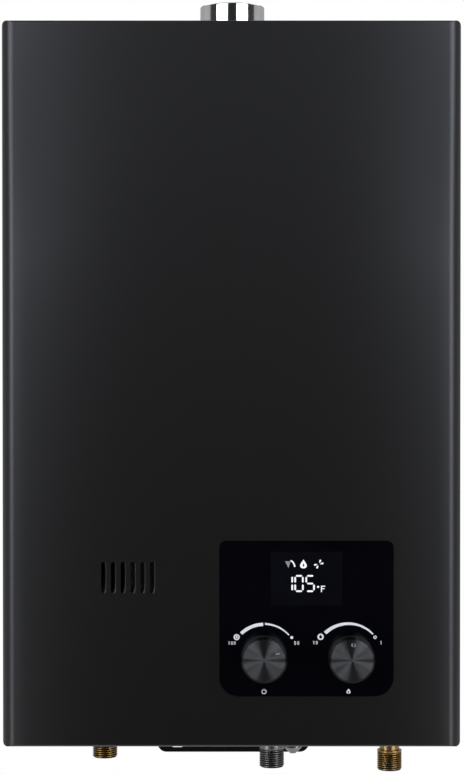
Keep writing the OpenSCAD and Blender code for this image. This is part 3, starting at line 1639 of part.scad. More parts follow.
front_cover();
back_plate();
top_plate();
base_plate();
cover_screws();
flue_collar();
flue_gasket();
flue_screws();
fan_housing();
fan_impeller();
fan_shaft();
fan_motor();
smoke_hood();
exchanger_fins();
exchanger_tubes();
combustion_chamber();
chamber_brackets();
chamber_coil();
burner_frame();
burner_bars();
gas_manifold();
burner_nozzles();
electrode_insulators();
electrode_rods();
electrode_leads();
gas_valve_body();
gas_solenoid();
gas_plunger();
valve_cap();
gas_pipe();
hot_outlet();
gas_inlet();
cold_inlet();
lock_nuts();
flow_sensor_body();
flow_turbine();
cold_pipe();
hot_pipe();
pipe_nuts();
drain_valve();
drain_pipe();
drain_plug();
controller_box();
controller_lid();
igniter();
pressure_switch();
pressure_hose();
thermostat();
cable_gland();
control_panel();
display_window();
display_module();
power_selector();
power_knob();
power_spindle();
gas_knob();
gas_spindle();
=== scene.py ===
"""Looks of a wall-hung tankless gas water heater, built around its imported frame.

Blender's lengths are metres, and MM turns a size in millimetres into metres. The frame is the part's
own: +Z is up, the front faces -Y, the wall is at y = 0 and x = 0 is the middle of the casing.
"""
import json
import math

import bmesh
import bpy
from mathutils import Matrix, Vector


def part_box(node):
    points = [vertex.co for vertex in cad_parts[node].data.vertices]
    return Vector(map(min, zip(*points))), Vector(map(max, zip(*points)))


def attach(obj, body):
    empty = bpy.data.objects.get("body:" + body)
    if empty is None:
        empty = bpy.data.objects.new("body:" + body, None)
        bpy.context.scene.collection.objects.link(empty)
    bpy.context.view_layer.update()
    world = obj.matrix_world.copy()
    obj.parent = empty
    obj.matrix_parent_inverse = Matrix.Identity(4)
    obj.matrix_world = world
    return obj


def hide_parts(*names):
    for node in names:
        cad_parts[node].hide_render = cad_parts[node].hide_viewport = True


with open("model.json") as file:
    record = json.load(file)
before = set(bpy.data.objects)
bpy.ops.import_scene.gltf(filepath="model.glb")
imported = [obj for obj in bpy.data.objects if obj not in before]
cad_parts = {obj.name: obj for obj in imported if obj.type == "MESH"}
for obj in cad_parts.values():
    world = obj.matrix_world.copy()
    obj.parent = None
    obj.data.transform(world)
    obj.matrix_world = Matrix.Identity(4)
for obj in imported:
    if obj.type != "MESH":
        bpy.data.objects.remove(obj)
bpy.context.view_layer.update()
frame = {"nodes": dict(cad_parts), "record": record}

MM = 0.001
BODY = "chassis"
WELD = 0.0005 * MM

# Knobs: POWER_MARK and GAS_MARK are the pointers' places at rest, in degrees clockwise from the top
KNOB_CHAMFER = 1.5 * MM
KNOB_EDGE = 0.35 * MM
KNOB_WALL = 2.2 * MM
KNOB_FACE = 4 * MM
KNOB_BOSS_R = 7 * MM
KNOB_BORE_R = 3.1 * MM
KNOB_SIDES = 160
# Start and end of the painted shade on the knob's rim in shares of the knob's width, and turning marks to
# that width
KNOB_RIM_SHADE = (0.452, 0.462)
TURNING_MARKS = 90.0
DIMPLE_RING = 12.5 * MM
DIMPLE_R = 1.9 * MM
DIMPLE_DEPTH = 0.6 * MM
DIMPLE_SIDES = 64
POWER_MARK = 60
GAS_MARK = 5

# Flue collar
FLUE_R = 27 * MM
FLUE_WALL = 1.5 * MM
FLUE_FLANGE = 1.5 * MM
FLUE_ROLL = 1.2 * MM
FLUE_BORE_EDGE = 0.3 * MM
FLUE_FLANGE_EDGE = 0.4 * MM
FLUE_FLANGE_UNDER = 0.3 * MM
FLUE_SIDES = 192
HOLE_SIDES = 32

# Threaded fittings: the form's corners are shares of the pitch and of the depth
THREAD_R = 10.48 * MM
THREAD_DEPTH = 1.16 * MM
THREAD_PITCH = 1.814 * MM
THREAD_LENGTH = 17 * MM
THREAD_BEVEL = 1 * MM
THREAD_SIDES = 96
THREAD_FORM = ((0.0, 0.0), (0.24, 0.0), (0.5, 1.0), (0.74, 1.0))
RUNOUT_TURNS = 2
FITTING_BORE_R = 6.5 * MM
FITTING_FLANGE = 4 * MM
FITTING_EDGE = 0.4 * MM
FITTING_FLANGE_LOWER = 0.6 * MM
FITTING_FLANGE_UPPER = 0.3 * MM
WATER_NECK_R = 8.4 * MM
GAS_NECK_R = 10.08 * MM
# Painted shade in the thread's grooves: the colour darkens between these shares of the thread's depth, to a
# share of the metal's tone
GROOVE_FLOOR = 0.8
GROOVE_LIP = 0.15
GROOVE_PAINTED_SHADE = 0.08

# Screws: flat top, height of the rim and the recess's arms are shares of the head
SCREW_HEAD_H = 2 * MM
SCREW_HEAD_R = 3.6 * MM
SCREW_SHANK_R = 2 * MM
SCREW_FLAT = 0.55
SCREW_RIM = 0.45
SCREW_CROWN_EDGE = 0.6 * MM
SCREW_RIM_EDGE = 0.4 * MM
SCREW_SIDES = 48
RECESS_REACH = 0.55
RECESS_WIDTH = 0.14
RECESS_DEPTH = 1.1 * MM
COVER_SCREW_SHANK = 5.7 * MM

# Louvre
LOUVRE_N = 6
LOUVRE_W = 4.2 * MM
LOUVRE_H = 25.5 * MM
LOUVRE_PITCH = 7.9 * MM
LOUVRE_X = -83.5 * MM
LOUVRE_LOW = 124.25 * MM
LIP_R = 0.8 * MM
LIP_ANGLE = 60
LIP_STEPS = 6
LIP_REACH = 2.8 * MM
LIP_SHEET = 0.5 * MM
LIP_SINK = 0.15 * MM
LIP_END = 0.3 * MM
LIP_SCOOP = 7 * MM
LIP_FLARE = 0.8
LIP_ROWS = 24

# Paint of the casing: a wide bump falls away to the sides by CROWN_DROP times a share that goes by height
CROWN_START = 20 * MM
CROWN_END = 186 * MM
CROWN_DROP = 7.1 * MM
CROWN_POWER = 3.2
CROWN_LOW = 400 * MM
CROWN_TOP = 600 * MM
CROWN_LOW_SHARE = 1.4
CROWN_TOP_SHARE = 0.5
BEND_START = 168 * MM
BEND_END = 181 * MM
BEND_DRYNESS = 0.1

# Display and prints: plain numbers are millimetres on the face, and angles are degrees clockwise from the top
PRINT_THICKNESS = 0.04 * MM
GAS_SCALE_SHIFT = 2.1 * MM
DIGIT_PLACES = (("1", -18.55), ("0", -9.95), ("5", -0.97))
DIGIT_W = 7.6
DIGIT_TOP = 2.9
DIGIT_FOOT = -10.9
SEGMENT_W = 1.4
# Shares of a segment's width: its ends' slope and flat, and what is left free at the sides, top and middle
SEGMENT_SLOPE = 0.3
SEGMENT_TIP = 0.35
SEGMENT_SIDE = 0.95
SEGMENT_TOP = 1.05
SEGMENT_GAP = 0.6
FIGURE_H = 2.9
FIGURE_W = 0.56 * FIGURE_H
FIGURE_LINE = 0.16 * FIGURE_H
FIGURE_PITCH = FIGURE_W + 1.4 * FIGURE_LINE
SCALE_START = -44
SCALE_MARK = -53.7

# Camera, lamps and surroundings: the levels go by direction, from 0 in front of the object to 1 behind it
CAMERA_LENS = 97.907
CAMERA_SENSOR = 36
CAMERA_SHIFT = -0.028
CAMERA_PLACE = (0.018, -1.845, 0.315)
CAMERA_AIM = (0.018, -0.145, 0.29134)
CAMERA_REACH = 50
LAMP_AIM = (0, -0.07, 0.3)
COLD_LIGHT = (0.93, 0.965, 1.06)
FRONT_LEVEL = 0.02
WORLD_LEVELS = (
    (0.42, 0.05), (0.46, 0.1), (0.5, 0.42), (0.7, 0.48), (0.78, 0.42), (0.985, 0.42), (0.993, 1.0))


# Outlines

def middle(node):
    """Middle of a node's box."""
    low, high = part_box(node)
    return (low + high) / 2


def rounded(corners, closed=True, steps=4):
    """An outline through corners (a, b, radius), with an arc at each corner that has a radius.

    An open outline starts and ends at its first and last corner.
    """
    outline = []
    for i, (a, b, radius) in enumerate(corners):
        here = Vector((a, b))
        if radius == 0 or not closed and i in (0, len(corners) - 1):
            outline.append((a, b))
            continue
        back = (Vector(corners[i - 1][:2]) - here).normalized()
        ahead = (Vector(corners[(i + 1) % len(corners)][:2]) - here).normalized()
        half = back.angle(ahead) / 2
        centre = here + (back + ahead).normalized() * radius / math.sin(half)
        first = here + back * radius / math.tan(half) - centre
        last = here + ahead * radius / math.tan(half) - centre
        sweep = math.atan2(first.cross(last), first.dot(last))
        for step in range(steps + 1):
            turn = sweep * step / steps
            outline.append((
                centre.x + first.x * math.cos(turn) - first.y * math.sin(turn),
                centre.y + first.x * math.sin(turn) + first.y * math.cos(turn)))
    return outline


def polar(radius, angle):
    """The point at a radius from (0, 0) and at an angle in degrees, clockwise from the top."""
    turn = math.radians(angle)
    return (radius * math.sin(turn), radius * math.cos(turn))


def arc(radius, start, end, steps=32):
    """Points about (0, 0) between two angles."""
    return [polar(radius, start + (end - start) * i / steps) for i in range(steps + 1)]


def circle(radius):
    """A closed outline about (0, 0)."""
    return arc(radius, 0, 360)[:-1]


def tapered(radius, start, end, first, last, steps=48):
    """Both edges of an arc whose width goes from first to last."""
    left, right = [], []
    for i in range(steps + 1):
        angle = start + (end - start) * i / steps
        half = (first + (last - first) * i / steps) / 2
        left.append(polar(radius - half, angle))
        right.append(polar(radius + half, angle))
    return left, right


def shifted(outline, x, z):
    """An outline moved by (x, z)."""
    return [(a + x, b + z) for a, b in outline]


def teardrop(width, height, steps=40):
    """A drop with its point at the top and its middle at (0, 0)."""
    fullness = 1.5
    rise = (fullness + 1) / (fullness + 2)
    widest = 2 * math.sqrt(1 - rise) * rise ** ((fullness + 1) / 2)
    turns = [2 * math.pi * i / steps for i in range(steps)]
    return [(width / (2 * widest) * math.sin(turn) * math.sin(turn / 2) ** fullness,
             height / 2 * math.cos(turn)) for turn in turns]


# Meshes

def add_mesh(name, points, faces, material, sharp=30):
    """A new mesh object, smooth except along edges sharper than that angle in degrees."""
    mesh = bpy.data.meshes.new(name)
    mesh.from_pydata(points, [], faces)
    mesh.materials.append(material)
    work = bmesh.new()
    work.from_mesh(mesh)
    bmesh.ops.remove_doubles(work, verts=work.verts, dist=WELD)
    bmesh.ops.recalc_face_normals(work, faces=work.faces)
    work.to_mesh(mesh)
    work.free()
    piece = bpy.data.objects.new(name, mesh)
    bpy.context.scene.collection.objects.link(piece)
    smooth(piece, sharp)
    return piece


def smooth(piece, sharp):
    """Smooth shading, with edges sharper than that angle in degrees kept."""
    mesh = piece.data
    mesh.polygons.foreach_set("use_smooth", [True] * len(mesh.polygons))
    mesh.set_sharp_from_angle(angle=math.radians(sharp))


def turned(profile_at, sides):
    """Points and faces of a closed (radius, height) profile turned about Z, given for each angle.

    The first and the last column meet, and are welded with the mesh.
    """
    points = []
    for i in range(sides + 1):
        angle = 2 * math.pi * i / sides
        points += [(r * math.cos(angle), r * math.sin(angle), h) for r, h in profile_at(angle)]
    rows = len(points) // (sides + 1)
    faces = []
    for i in range(sides):
        here, there = i * rows, (i + 1) * rows
        for k in range(rows):
            up = (k + 1) % rows
            faces.append((here + k, here + up, there + up, there + k))
    return points, faces


def cut(piece, tools, sharp=30):
    """Takes the tools' solids away from a piece, and the tools from the scene."""
    for tool in tools:
        modifier = piece.modifiers.new("cut", "BOOLEAN")
        modifier.object = tool
        modifier.solver = "EXACT"
    bpy.context.view_layer.update()
    whole = piece.evaluated_get(bpy.context.evaluated_depsgraph_get())
    mesh = bpy.data.meshes.new_from_object(whole)
    piece.modifiers.clear()
    piece.data = mesh
    for tool in tools:
        bpy.data.objects.remove(tool)
    smooth(piece, sharp)


def settle(piece, body=BODY, nodes=()):
    """A finished piece rides on its body and stands for its nodes, which are hidden."""
    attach(piece, body)
    if nodes:
        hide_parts(*nodes)


# Materials

class Shading:
    """A node tree, with short ways to add to it."""

    def __init__(self, tree):
        self.tree = tree

    def node(self, kind, links=(), **settings):
        """A node with its settings, and with outputs or values on the inputs named in links."""
        node = self.tree.nodes.new(kind)
        for key, value in settings.items():
            setattr(node, key, value)
        for socket, value in dict(links).items():
            if isinstance(value, bpy.types.NodeSocket):
                self.tree.links.new(value, node.inputs[socket])
            else:
                node.inputs[socket].default_value = value
        return node

    def value(self, operation, first, second=0.0):
        """A number worked out from one or two others."""
        return self.node("ShaderNodeMath", {0: first, 1: second}, operation=operation).outputs[0]

    def vector(self, operation, first, second):
        """A vector worked out from two others."""
        return self.node("ShaderNodeVectorMath", {0: first, 1: second}, operation=operation).outputs[0]

    def length(self, vector):
        """The length of a vector."""
        return self.node("ShaderNodeVectorMath", {0: vector}, operation="LENGTH").outputs["Value"]

    def split(self, vector):
        """The X, Y and Z of a vector."""
        return self.node("ShaderNodeSeparateXYZ", {0: vector}).outputs

    def level(self, factor, low, high, start=0.3, end=0.7, shape="LINEAR"):
        """A number that goes from low to high as the factor goes from start to end."""
        links = {"Value": factor, "From Min": start, "From Max": end, "To Min": low, "To Max": high}
        return self.node("ShaderNodeMapRange", links, interpolation_type=shape).outputs["Result"]

    def blend(self, factor, low, high):
        """A colour between two, which are colours or outputs."""
        node = self.node("ShaderNodeMix", {"Factor": factor}, data_type="RGBA")
        for socket, value in ((node.inputs[6], low), (node.inputs[7], high)):
            if isinstance(value, bpy.types.NodeSocket):
                self.tree.links.new(value, socket)
            else:
                socket.default_value = (*value, 1)
        return node.outputs[2]


class Finish(Shading):
    """A principled material whose textures lie in the piece's own space."""

    def __init__(self, name, **constants):
        self.material = bpy.data.materials.new(name)
        self.material.use_nodes = True
        super().__init__(self.material.node_tree)
        self.shader = self.tree.nodes["Principled BSDF"]
        for socket, value in constants.items():
            self.shader.inputs[socket.replace("_", " ")].default_value = value
        coordinates = self.node("ShaderNodeTexCoord").outputs
        self.space = coordinates["Object"]
        self.share = coordinates["Generated"]

    def noise(self, size, detail=3, stretch=None):
        """Noise from 0 to 1, with grains of a size in metres, which run long where they are stretched."""
        squeeze = [1 / s for s in stretch] if stretch else None
        space = self.vector("MULTIPLY", self.space, squeeze) if stretch else self.space
        links = {"Vector": space, "Scale": 1 / size, "Detail": detail}
        return self.node("ShaderNodeTexNoise", links).outputs["Fac"]

    def cells(self, size):
        """A different level from 0 to 1 in each crystal of a size in metres."""
        links = {"Vector": self.space, "Scale": 1 / size}
        colour = self.node("ShaderNodeTexVoronoi", links).outputs["Color"]
        return self.node("ShaderNodeSeparateColor", {"Color": colour}).outputs["Red"]

    def radius(self, across):
        """Distance from the piece's axis, in shares of its width.

        Across has a 1 for each direction that is square to the axis, and else a 0.
        """
        off_middle = self.vector("SUBTRACT", self.share, (0.5, 0.5, 0.5))
        return self.length(self.vector("MULTIPLY", off_middle, across))

    def feed(self, **outputs):
        """Links outputs to the shader's sockets."""
        for socket, output in outputs.items():
            self.tree.links.new(output, self.shader.inputs[socket.replace("_", " ")])
        return self

    def bump(self, height, depth):
        """Relief of a depth in metres, over any that is there."""
        links = {"Height": height, "Distance": depth, "Strength": 1.0}
        normal = self.shader.inputs["Normal"]
        if normal.is_linked:
            links["Normal"] = normal.links[0].from_socket
        self.tree.links.new(self.node("ShaderNodeBump", links).outputs["Normal"], normal)
        return self


def grey(level, warmth=0.0):
    """A near neutral colour, a little redder where it is warm and bluer where it is cold."""
    return (level * (1 + warmth), level, level * (1 - warmth))


def plain_finish(name, low, high, roughness, grain, depth, patch=12 * MM, stretch=None, **constants):
    """A finish with cloudy colour, roughness that varies by grain, and relief of a depth."""
    finish = Finish(name, **constants)
    clouds = finish.noise(patch)
    grains = finish.noise(grain, stretch=stretch)
    finish.feed(
        Base_Color=finish.blend(finish.level(clouds, 0, 1), low, high),
        Roughness=finish.level(grains, *roughness))
    return finish.bump(grains, depth)


def powder_coat():
    """Satin black stoved powder with a fine orange peel, drier at the casing's bends.

    Its wide bump turns the reflections towards the casing's sides, and does so most in the lower part.
    """
    finish = Finish("powder_coat", Specular_IOR_Level=0.62, Specular_Tint=(0.95, 0.96, 1.0, 1))
    clouds = finish.noise(18 * MM)
    specks = finish.noise(0.7 * MM, detail=2)
    peel = finish.noise(2.2 * MM, detail=1)
    place = finish.split(finish.space)
    side = finish.value("ABSOLUTE", place["X"])
    dryness = finish.level(side, 0, BEND_DRYNESS, BEND_START, BEND_END)
    tint = finish.blend(finish.level(clouds, 0, 1), (0.0023, 0.0020, 0.0013), (0.0029, 0.0025, 0.0017))
    finish.feed(
        Base_Color=finish.blend(finish.level(specks, 0, 1, 0.35, 0.75), tint, (0.0048, 0.0044, 0.0036)),
        Roughness=finish.value("ADD", finish.level(specks, 0.28, 0.36), dryness))
    fall = finish.value("POWER", finish.level(side, 0, 1, CROWN_START, CROWN_END), CROWN_POWER)
    share = finish.level(place["Z"], -CROWN_LOW_SHARE, -CROWN_TOP_SHARE, CROWN_LOW, CROWN_TOP, "SMOOTHSTEP")
    finish.bump(finish.value("MULTIPLY", fall, share), CROWN_DROP)
    return finish.bump(peel, 0.010 * MM).bump(specks, 0.007 * MM)


def galvanised():
    """Zinc-coated sheet with its crystal spangle."""
    finish = Finish("galvanised_sheet", Metallic=1.0)
    spangle = finish.cells(7 * MM)
    grains = finish.noise(0.8 * MM)
    finish.feed(
        Base_Color=finish.blend(spangle, grey(0.46, -0.02), grey(0.62, -0.01)),
        Roughness=finish.level(spangle, 0.34, 0.5, 0, 1))
    return finish.bump(grains, 0.006 * MM)


def heated_copper():
    """Copper sheet and tube, browned and purpled in patches by heat."""
    finish = Finish("heated_copper", Metallic=1.0)
    tint = finish.noise(45 * MM, detail=4)
    grains = finish.noise(0.8 * MM)
    browned = finish.blend(finish.level(tint, 0, 1, 0.45, 0.75), (0.72, 0.38, 0.22), (0.40, 0.17, 0.12))
    finish.feed(
        Base_Color=finish.blend(finish.level(grains, 0, 0.15), browned, (0.82, 0.50, 0.32)),
        Roughness=finish.level(grains, 0.28, 0.40))
    return finish.bump(grains, 0.003 * MM)


def threaded(name, low, high, width, thread):
    """Turned metal of a fitting, with painted shade darkening the grooves in the lowest share of its height.

    The width is the fitting's, across its flange, and the thread is that share.
    """
    finish = Finish(name, Metallic=1.0)
    floor, lip = [(THREAD_R - share * THREAD_DEPTH) / width for share in (GROOVE_FLOOR, GROOVE_LIP)]
    groove_shade = finish.level(finish.radius((1, 1, 0)), 1, 0, floor, lip)
    below = finish.value("LESS_THAN", finish.split(finish.share)["Z"], thread)
    clouds = finish.noise(5 * MM)
    grains = finish.noise(0.7 * MM)
    tone = finish.blend(finish.level(clouds, 0, 1), low, high)
    # Painted shade: the colour in the grooves is darkened to stand in for the shade that falls in them
    dark = [GROOVE_PAINTED_SHADE * level for level in low]
    finish.feed(
        Base_Color=finish.blend(finish.value("MULTIPLY", groove_shade, below), tone, dark),
        Roughness=finish.level(grains, 0.34, 0.46))
    return finish.bump(grains, 0.005 * MM)


def spun_aluminium():
    """Dark aluminium with fine turning marks about the knob's axis, which runs along Y, and painted shade
    that blackens its rim.
    """
    finish = Finish("spun_aluminium", Metallic=1.0, Anisotropic=1.0, Anisotropic_Rotation=0.25)
    radius = finish.radius((1, 0, 1))
    links = {"W": radius, "Scale": TURNING_MARKS, "Detail": 3.0}
    rings = finish.node("ShaderNodeTexNoise", links, noise_dimensions="1D").outputs["Fac"]
    clouds = finish.noise(9 * MM)
    tone = finish.blend(finish.level(clouds, 0, 1), grey(0.10, -0.02), grey(0.125, -0.02))
    tone = finish.blend(finish.level(rings, 0, 0.5), tone, grey(0.16, -0.02))
    finish.feed(
        # Painted shade: the rim's colour is blackened to stand in for the shade on the knob's chamfer
        Base_Color=finish.blend(finish.level(radius, 0, 1, *KNOB_RIM_SHADE), tone, grey(0.022, -0.02)),
        Roughness=finish.level(rings, 0.29, 0.34),
        Tangent=finish.node("ShaderNodeTangent", direction_type="RADIAL", axis="Y").outputs[0])
    return finish.bump(rings, 0.0008 * MM)


def lit_segments(name, low, high):
    """Back-lit white of a display, a little uneven from its lamps."""
    finish = Finish(name, Base_Color=(0.02, 0.02, 0.02, 1), Emission_Strength=1.0, Roughness=0.3)
    uneven = finish.noise(3 * MM, detail=1)
    tone = finish.blend(finish.level(uneven, 0, 1), grey(low, -0.02), grey(high, -0.02))
    return finish.feed(Emission_Color=tone)


BRASS = ((0.36, 0.22, 0.07), (0.50, 0.335, 0.135))
STEEL = (grey(0.23, 0.03), grey(0.33, 0.01))
FINISHES = {
    "casing_black": powder_coat(),
    "galvanised_steel": galvanised(),
    "polished_steel": plain_finish(
        "polished_steel", grey(0.74, -0.01), grey(0.80, -0.01), roughness=(0.05, 0.11),
        grain=0.5 * MM, depth=0.0006 * MM, stretch=(8, 8, 1), Metallic=1.0),
    "plain_steel": plain_finish(
        "zinc_steel", grey(0.20, 0.01), grey(0.29, -0.02), roughness=(0.34, 0.48),
        grain=0.9 * MM, depth=0.006 * MM, patch=5 * MM, Metallic=1.0),
    "brass": plain_finish(
        "turned_brass", *BRASS, roughness=(0.34, 0.46),
        grain=0.7 * MM, depth=0.006 * MM, patch=6 * MM, stretch=(4, 4, 1), Metallic=1.0),
    "copper": heated_copper(),
    "cast_aluminium": plain_finish(
        "cast_aluminium", grey(0.54, -0.01), grey(0.64, -0.01), roughness=(0.42, 0.6),
        grain=1.1 * MM, depth=0.03 * MM, Metallic=1.0),
    "dark_aluminium": spun_aluminium(),
    "panel_gloss": plain_finish(
        "gloss_panel", (0.0006, 0.0006, 0.0016), (0.0010, 0.0010, 0.0023), roughness=(0.05, 0.08),
        grain=6 * MM, depth=0.0008 * MM, patch=30 * MM),
    "window_smoke": plain_finish(
        "smoked_window", (0.0018, 0.0019, 0.0032), (0.0026, 0.0027, 0.0042), roughness=(0.05, 0.08),
        grain=5 * MM, depth=0.0006 * MM, patch=20 * MM),
    "black_plastic": plain_finish(
        "black_plastic", grey(0.018), grey(0.028), roughness=(0.42, 0.58),
        grain=0.5 * MM, depth=0.012 * MM),
    "pale_plastic": plain_finish(
        "pale_plastic", grey(0.56, 0.03), grey(0.66, 0.03), roughness=(0.38, 0.52),
        grain=0.6 * MM, depth=0.008 * MM),
    "ceramic_white": plain_finish(
        "glazed_ceramic", grey(0.76, 0.04), grey(0.84, 0.04), roughness=(0.10, 0.2),
        grain=1.2 * MM, depth=0.006 * MM),
    "silicone": plain_finish(
        "red_silicone", (0.34, 0.06, 0.04), (0.42, 0.09, 0.06), roughness=(0.42, 0.55),
        grain=0.9 * MM, depth=0.01 * MM),
    "gasket_rubber": plain_finish(
        "gasket_rubber", grey(0.035, 0.06), grey(0.055, 0.06), roughness=(0.6, 0.8),
        grain=0.6 * MM, depth=0.02 * MM),
}
PRINT = plain_finish(
    "white_print", grey(0.70), grey(0.76), roughness=(0.4, 0.55),
    grain=0.4 * MM, depth=0.002 * MM, patch=4 * MM)
HOSE = plain_finish(
    "grey_silicone", grey(0.30), grey(0.38), roughness=(0.45, 0.6),
    grain=0.9 * MM, depth=0.01 * MM)
GLOW = lit_segments("lit_segments", 0.92, 1.0)
DIM_GLOW = lit_segments("dim_segments", 0.16, 0.30)


def finish_nodes():
    """Every node gets the finish of its slot, and the hose its own."""
    for part in frame["record"]["subparts"]:
        finish = HOSE if part["node"] == "pressure_hose" else FINISHES[part["material_slot"]]
        for slot in frame["nodes"][part["node"]].material_slots:
            slot.material = finish.material


# Knobs

def make_knob(node, body, mark):
    """A turned cap with a rounded chamfer and a round dimple as its pointer."""
    low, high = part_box(node)
    axis = middle(node)
    radius = (high.x - low.x) / 2
    height = high.y - low.y
    inner = height - KNOB_FACE
    rim = radius - KNOB_WALL
    profile = rounded([
        (0, height, 0), (radius - KNOB_CHAMFER, height, KNOB_EDGE),
        (radius, height - KNOB_CHAMFER, KNOB_EDGE), (radius, 0, KNOB_EDGE), (rim, 0, 0),
        (rim, inner, 0), (KNOB_BOSS_R, inner, 0), (KNOB_BOSS_R, 0, 0), (KNOB_BORE_R, 0, 0),
        (KNOB_BORE_R, inner, 0), (0, inner, 0)])
    points, faces = turned(lambda angle: profile, KNOB_SIDES)
    points = [(axis.x + x, high.y - h, axis.z + y) for x, y, h in points]
    piece = add_mesh(node + "_cap", points, faces, FINISHES["dark_aluminium"].material)
    ball_r = (DIMPLE_R ** 2 + DIMPLE_DEPTH ** 2) / (2 * DIMPLE_DEPTH)
    across, up = polar(DIMPLE_RING, mark)
    bpy.ops.mesh.primitive_uv_sphere_add(
        segments=DIMPLE_SIDES, ring_count=DIMPLE_SIDES // 2, radius=ball_r,
        location=(axis.x + across, low.y + DIMPLE_DEPTH - ball_r, axis.z + up))
    cut(piece, [bpy.context.object])
    settle(piece, body, [node])


# Louvre

def make_louvre_lips():
    """The sheet behind each slot, bent in from its right edge and closed like a scoop at the bottom."""
    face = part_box("front_cover")[0].y
    bend = [math.radians(LIP_ANGLE) * k / LIP_STEPS for k in range(LIP_STEPS + 1)]
    section = [(LIP_R * math.sin(turn), LIP_R * (1 - math.cos(turn))) for turn in bend]
    start_a, start_b = section[-1]
    section.append((start_a + LIP_REACH * math.cos(bend[-1]), start_b + LIP_REACH * math.sin(bend[-1])))
    wide = len(section)
    ring = list(range(wide)) + list(range(2 * wide - 1, wide - 1, -1))
    points, faces = [], []
    for slot in range(LOUVRE_N):
        middle_x = LOUVRE_X + (slot - (LOUVRE_N - 1) / 2) * LOUVRE_PITCH
        first = len(points)
        for row in range(LIP_ROWS + 1):
            rise = LIP_END + (LOUVRE_H - 2 * LIP_END) * row / LIP_ROWS
            short = max(0, LOUVRE_W / 2 - min(rise, LOUVRE_H - rise))
            half = math.sqrt((LOUVRE_W / 2) ** 2 - short ** 2)
            scoop = max(0, 1 - rise / LIP_SCOOP)
            depth = math.sqrt(1 - scoop ** 2)
            reach = (1 + LIP_FLARE * scoop) * 2 * half / LOUVRE_W
            for back in (0, LIP_SHEET):
                y, z = face + LIP_SINK + back, LOUVRE_LOW + rise
                points += [(middle_x + half - a * reach, y + b * depth, z) for a, b in section]
        for row in range(LIP_ROWS):
            here, there = first + row * 2 * wide, first + (row + 1) * 2 * wide
            for i, k in zip(ring, ring[1:] + ring[:1]):
                faces.append((here + i, here + k, there + k, there + i))
        for row in (0, LIP_ROWS):
            front = first + row * 2 * wide
            back = front + wide
            faces += [(front + k, front + k + 1, back + k + 1, back + k) for k in range(wide - 1)]
    piece = add_mesh("louvre_lips", points, faces, FINISHES["casing_black"].material, sharp=60)
    settle(piece)


# Flue collar

def make_flue_collar():
    """A bright spigot on its flange, with rolled edges and holes for its screws."""
    low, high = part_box("flue_collar")
    axis = middle("flue_collar")
    bore = FLUE_R - FLUE_WALL
    flange_top = low.z + FLUE_FLANGE
    profile = rounded([
        (bore, low.z, 0), (high.x, low.z, FLUE_FLANGE_UNDER), (high.x, flange_top, FLUE_FLANGE_EDGE),
        (FLUE_R, flange_top, FLUE_ROLL), (FLUE_R, high.z, FLUE_ROLL), (bore, high.z, FLUE_BORE_EDGE)])
    points, faces = turned(lambda angle: profile, FLUE_SIDES)
    points = [(axis.x + x, axis.y + y, z) for x, y, z in points]
    piece = add_mesh("flue_spigot", points, faces, FINISHES["polished_steel"].material)
    holes = []
    for place in flue_screw_places():
        bpy.ops.mesh.primitive_cylinder_add(
            vertices=HOLE_SIDES, radius=SCREW_SHANK_R, depth=4 * FLUE_FLANGE, location=(*place, low.z))
        holes.append(bpy.context.object)
    cut(piece, holes)
    settle(piece, nodes=["flue_collar"])


def flue_screw_places():
    """The (x, y) of each screw on the collar's flange."""
    axis = middle("flue_screws")
    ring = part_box("flue_screws")[1].x - SCREW_HEAD_R - axis.x
    quarters = [turn * math.pi / 2 for turn in range(4)]
    return [(axis.x + ring * math.cos(turn), axis.y + ring * math.sin(turn)) for turn in quarters]


# Screws

def make_screws(name, node, places):
    """Cross-recessed pan heads on their shanks: places are (x, y, seat, shank length, +1 up or -1 down)."""
    head = [
        (0, SCREW_HEAD_H, 0), (SCREW_FLAT * SCREW_HEAD_R, SCREW_HEAD_H, SCREW_CROWN_EDGE),
        (SCREW_HEAD_R, SCREW_RIM * SCREW_HEAD_H, SCREW_RIM_EDGE), (SCREW_HEAD_R, 0, 0), (SCREW_SHANK_R, 0, 0)]
    reach, width = RECESS_REACH * SCREW_HEAD_R, RECESS_WIDTH * SCREW_HEAD_R
    points, faces, blades = [], [], []
    for x, y, seat, length, way in places:
        profile = rounded(head + [(SCREW_SHANK_R, -length, 0), (0, -length, 0)])
        more, sheets = turned(lambda angle: profile, SCREW_SIDES)
        first = len(points)
        points += [(x + a, y + b, seat + way * h) for a, b, h in more]
        faces += [tuple(first + i for i in sheet) for sheet in sheets]
        for size in ((reach, width), (width, reach)):
            bpy.ops.mesh.primitive_cube_add(size=2, location=(x, y, seat + way * SCREW_HEAD_H))
            bpy.context.object.scale = (*size, RECESS_DEPTH)
            blades.append(bpy.context.object)
    piece = add_mesh(name, points, faces, FINISHES["plain_steel"].material)
    cut(piece, blades)
    settle(piece, nodes=[node])


def make_cover_screws():
    """The four screws that hold the cover to the top and base plates."""
    low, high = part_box("cover_screws")
    y = middle("cover_screws").y
    places = []
    for x in (low.x + SCREW_HEAD_R, high.x - SCREW_HEAD_R):
        for seat, way in ((high.z - SCREW_HEAD_H, 1), (low.z + SCREW_HEAD_H, -1)):
            places.append((x, y, seat, COVER_SCREW_SHANK, way))
    make_screws("cover_screw_set", "cover_screws", places)


def make_flue_screws():
    """The four screws on the flue collar's flange."""
    low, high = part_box("flue_screws")
    seat = high.z - SCREW_HEAD_H
    places = [(x, y, seat, seat - low.z, 1) for x, y in flue_screw_places()]
    make_screws("flue_screw_set", "flue_screws", places)


# Threaded fittings

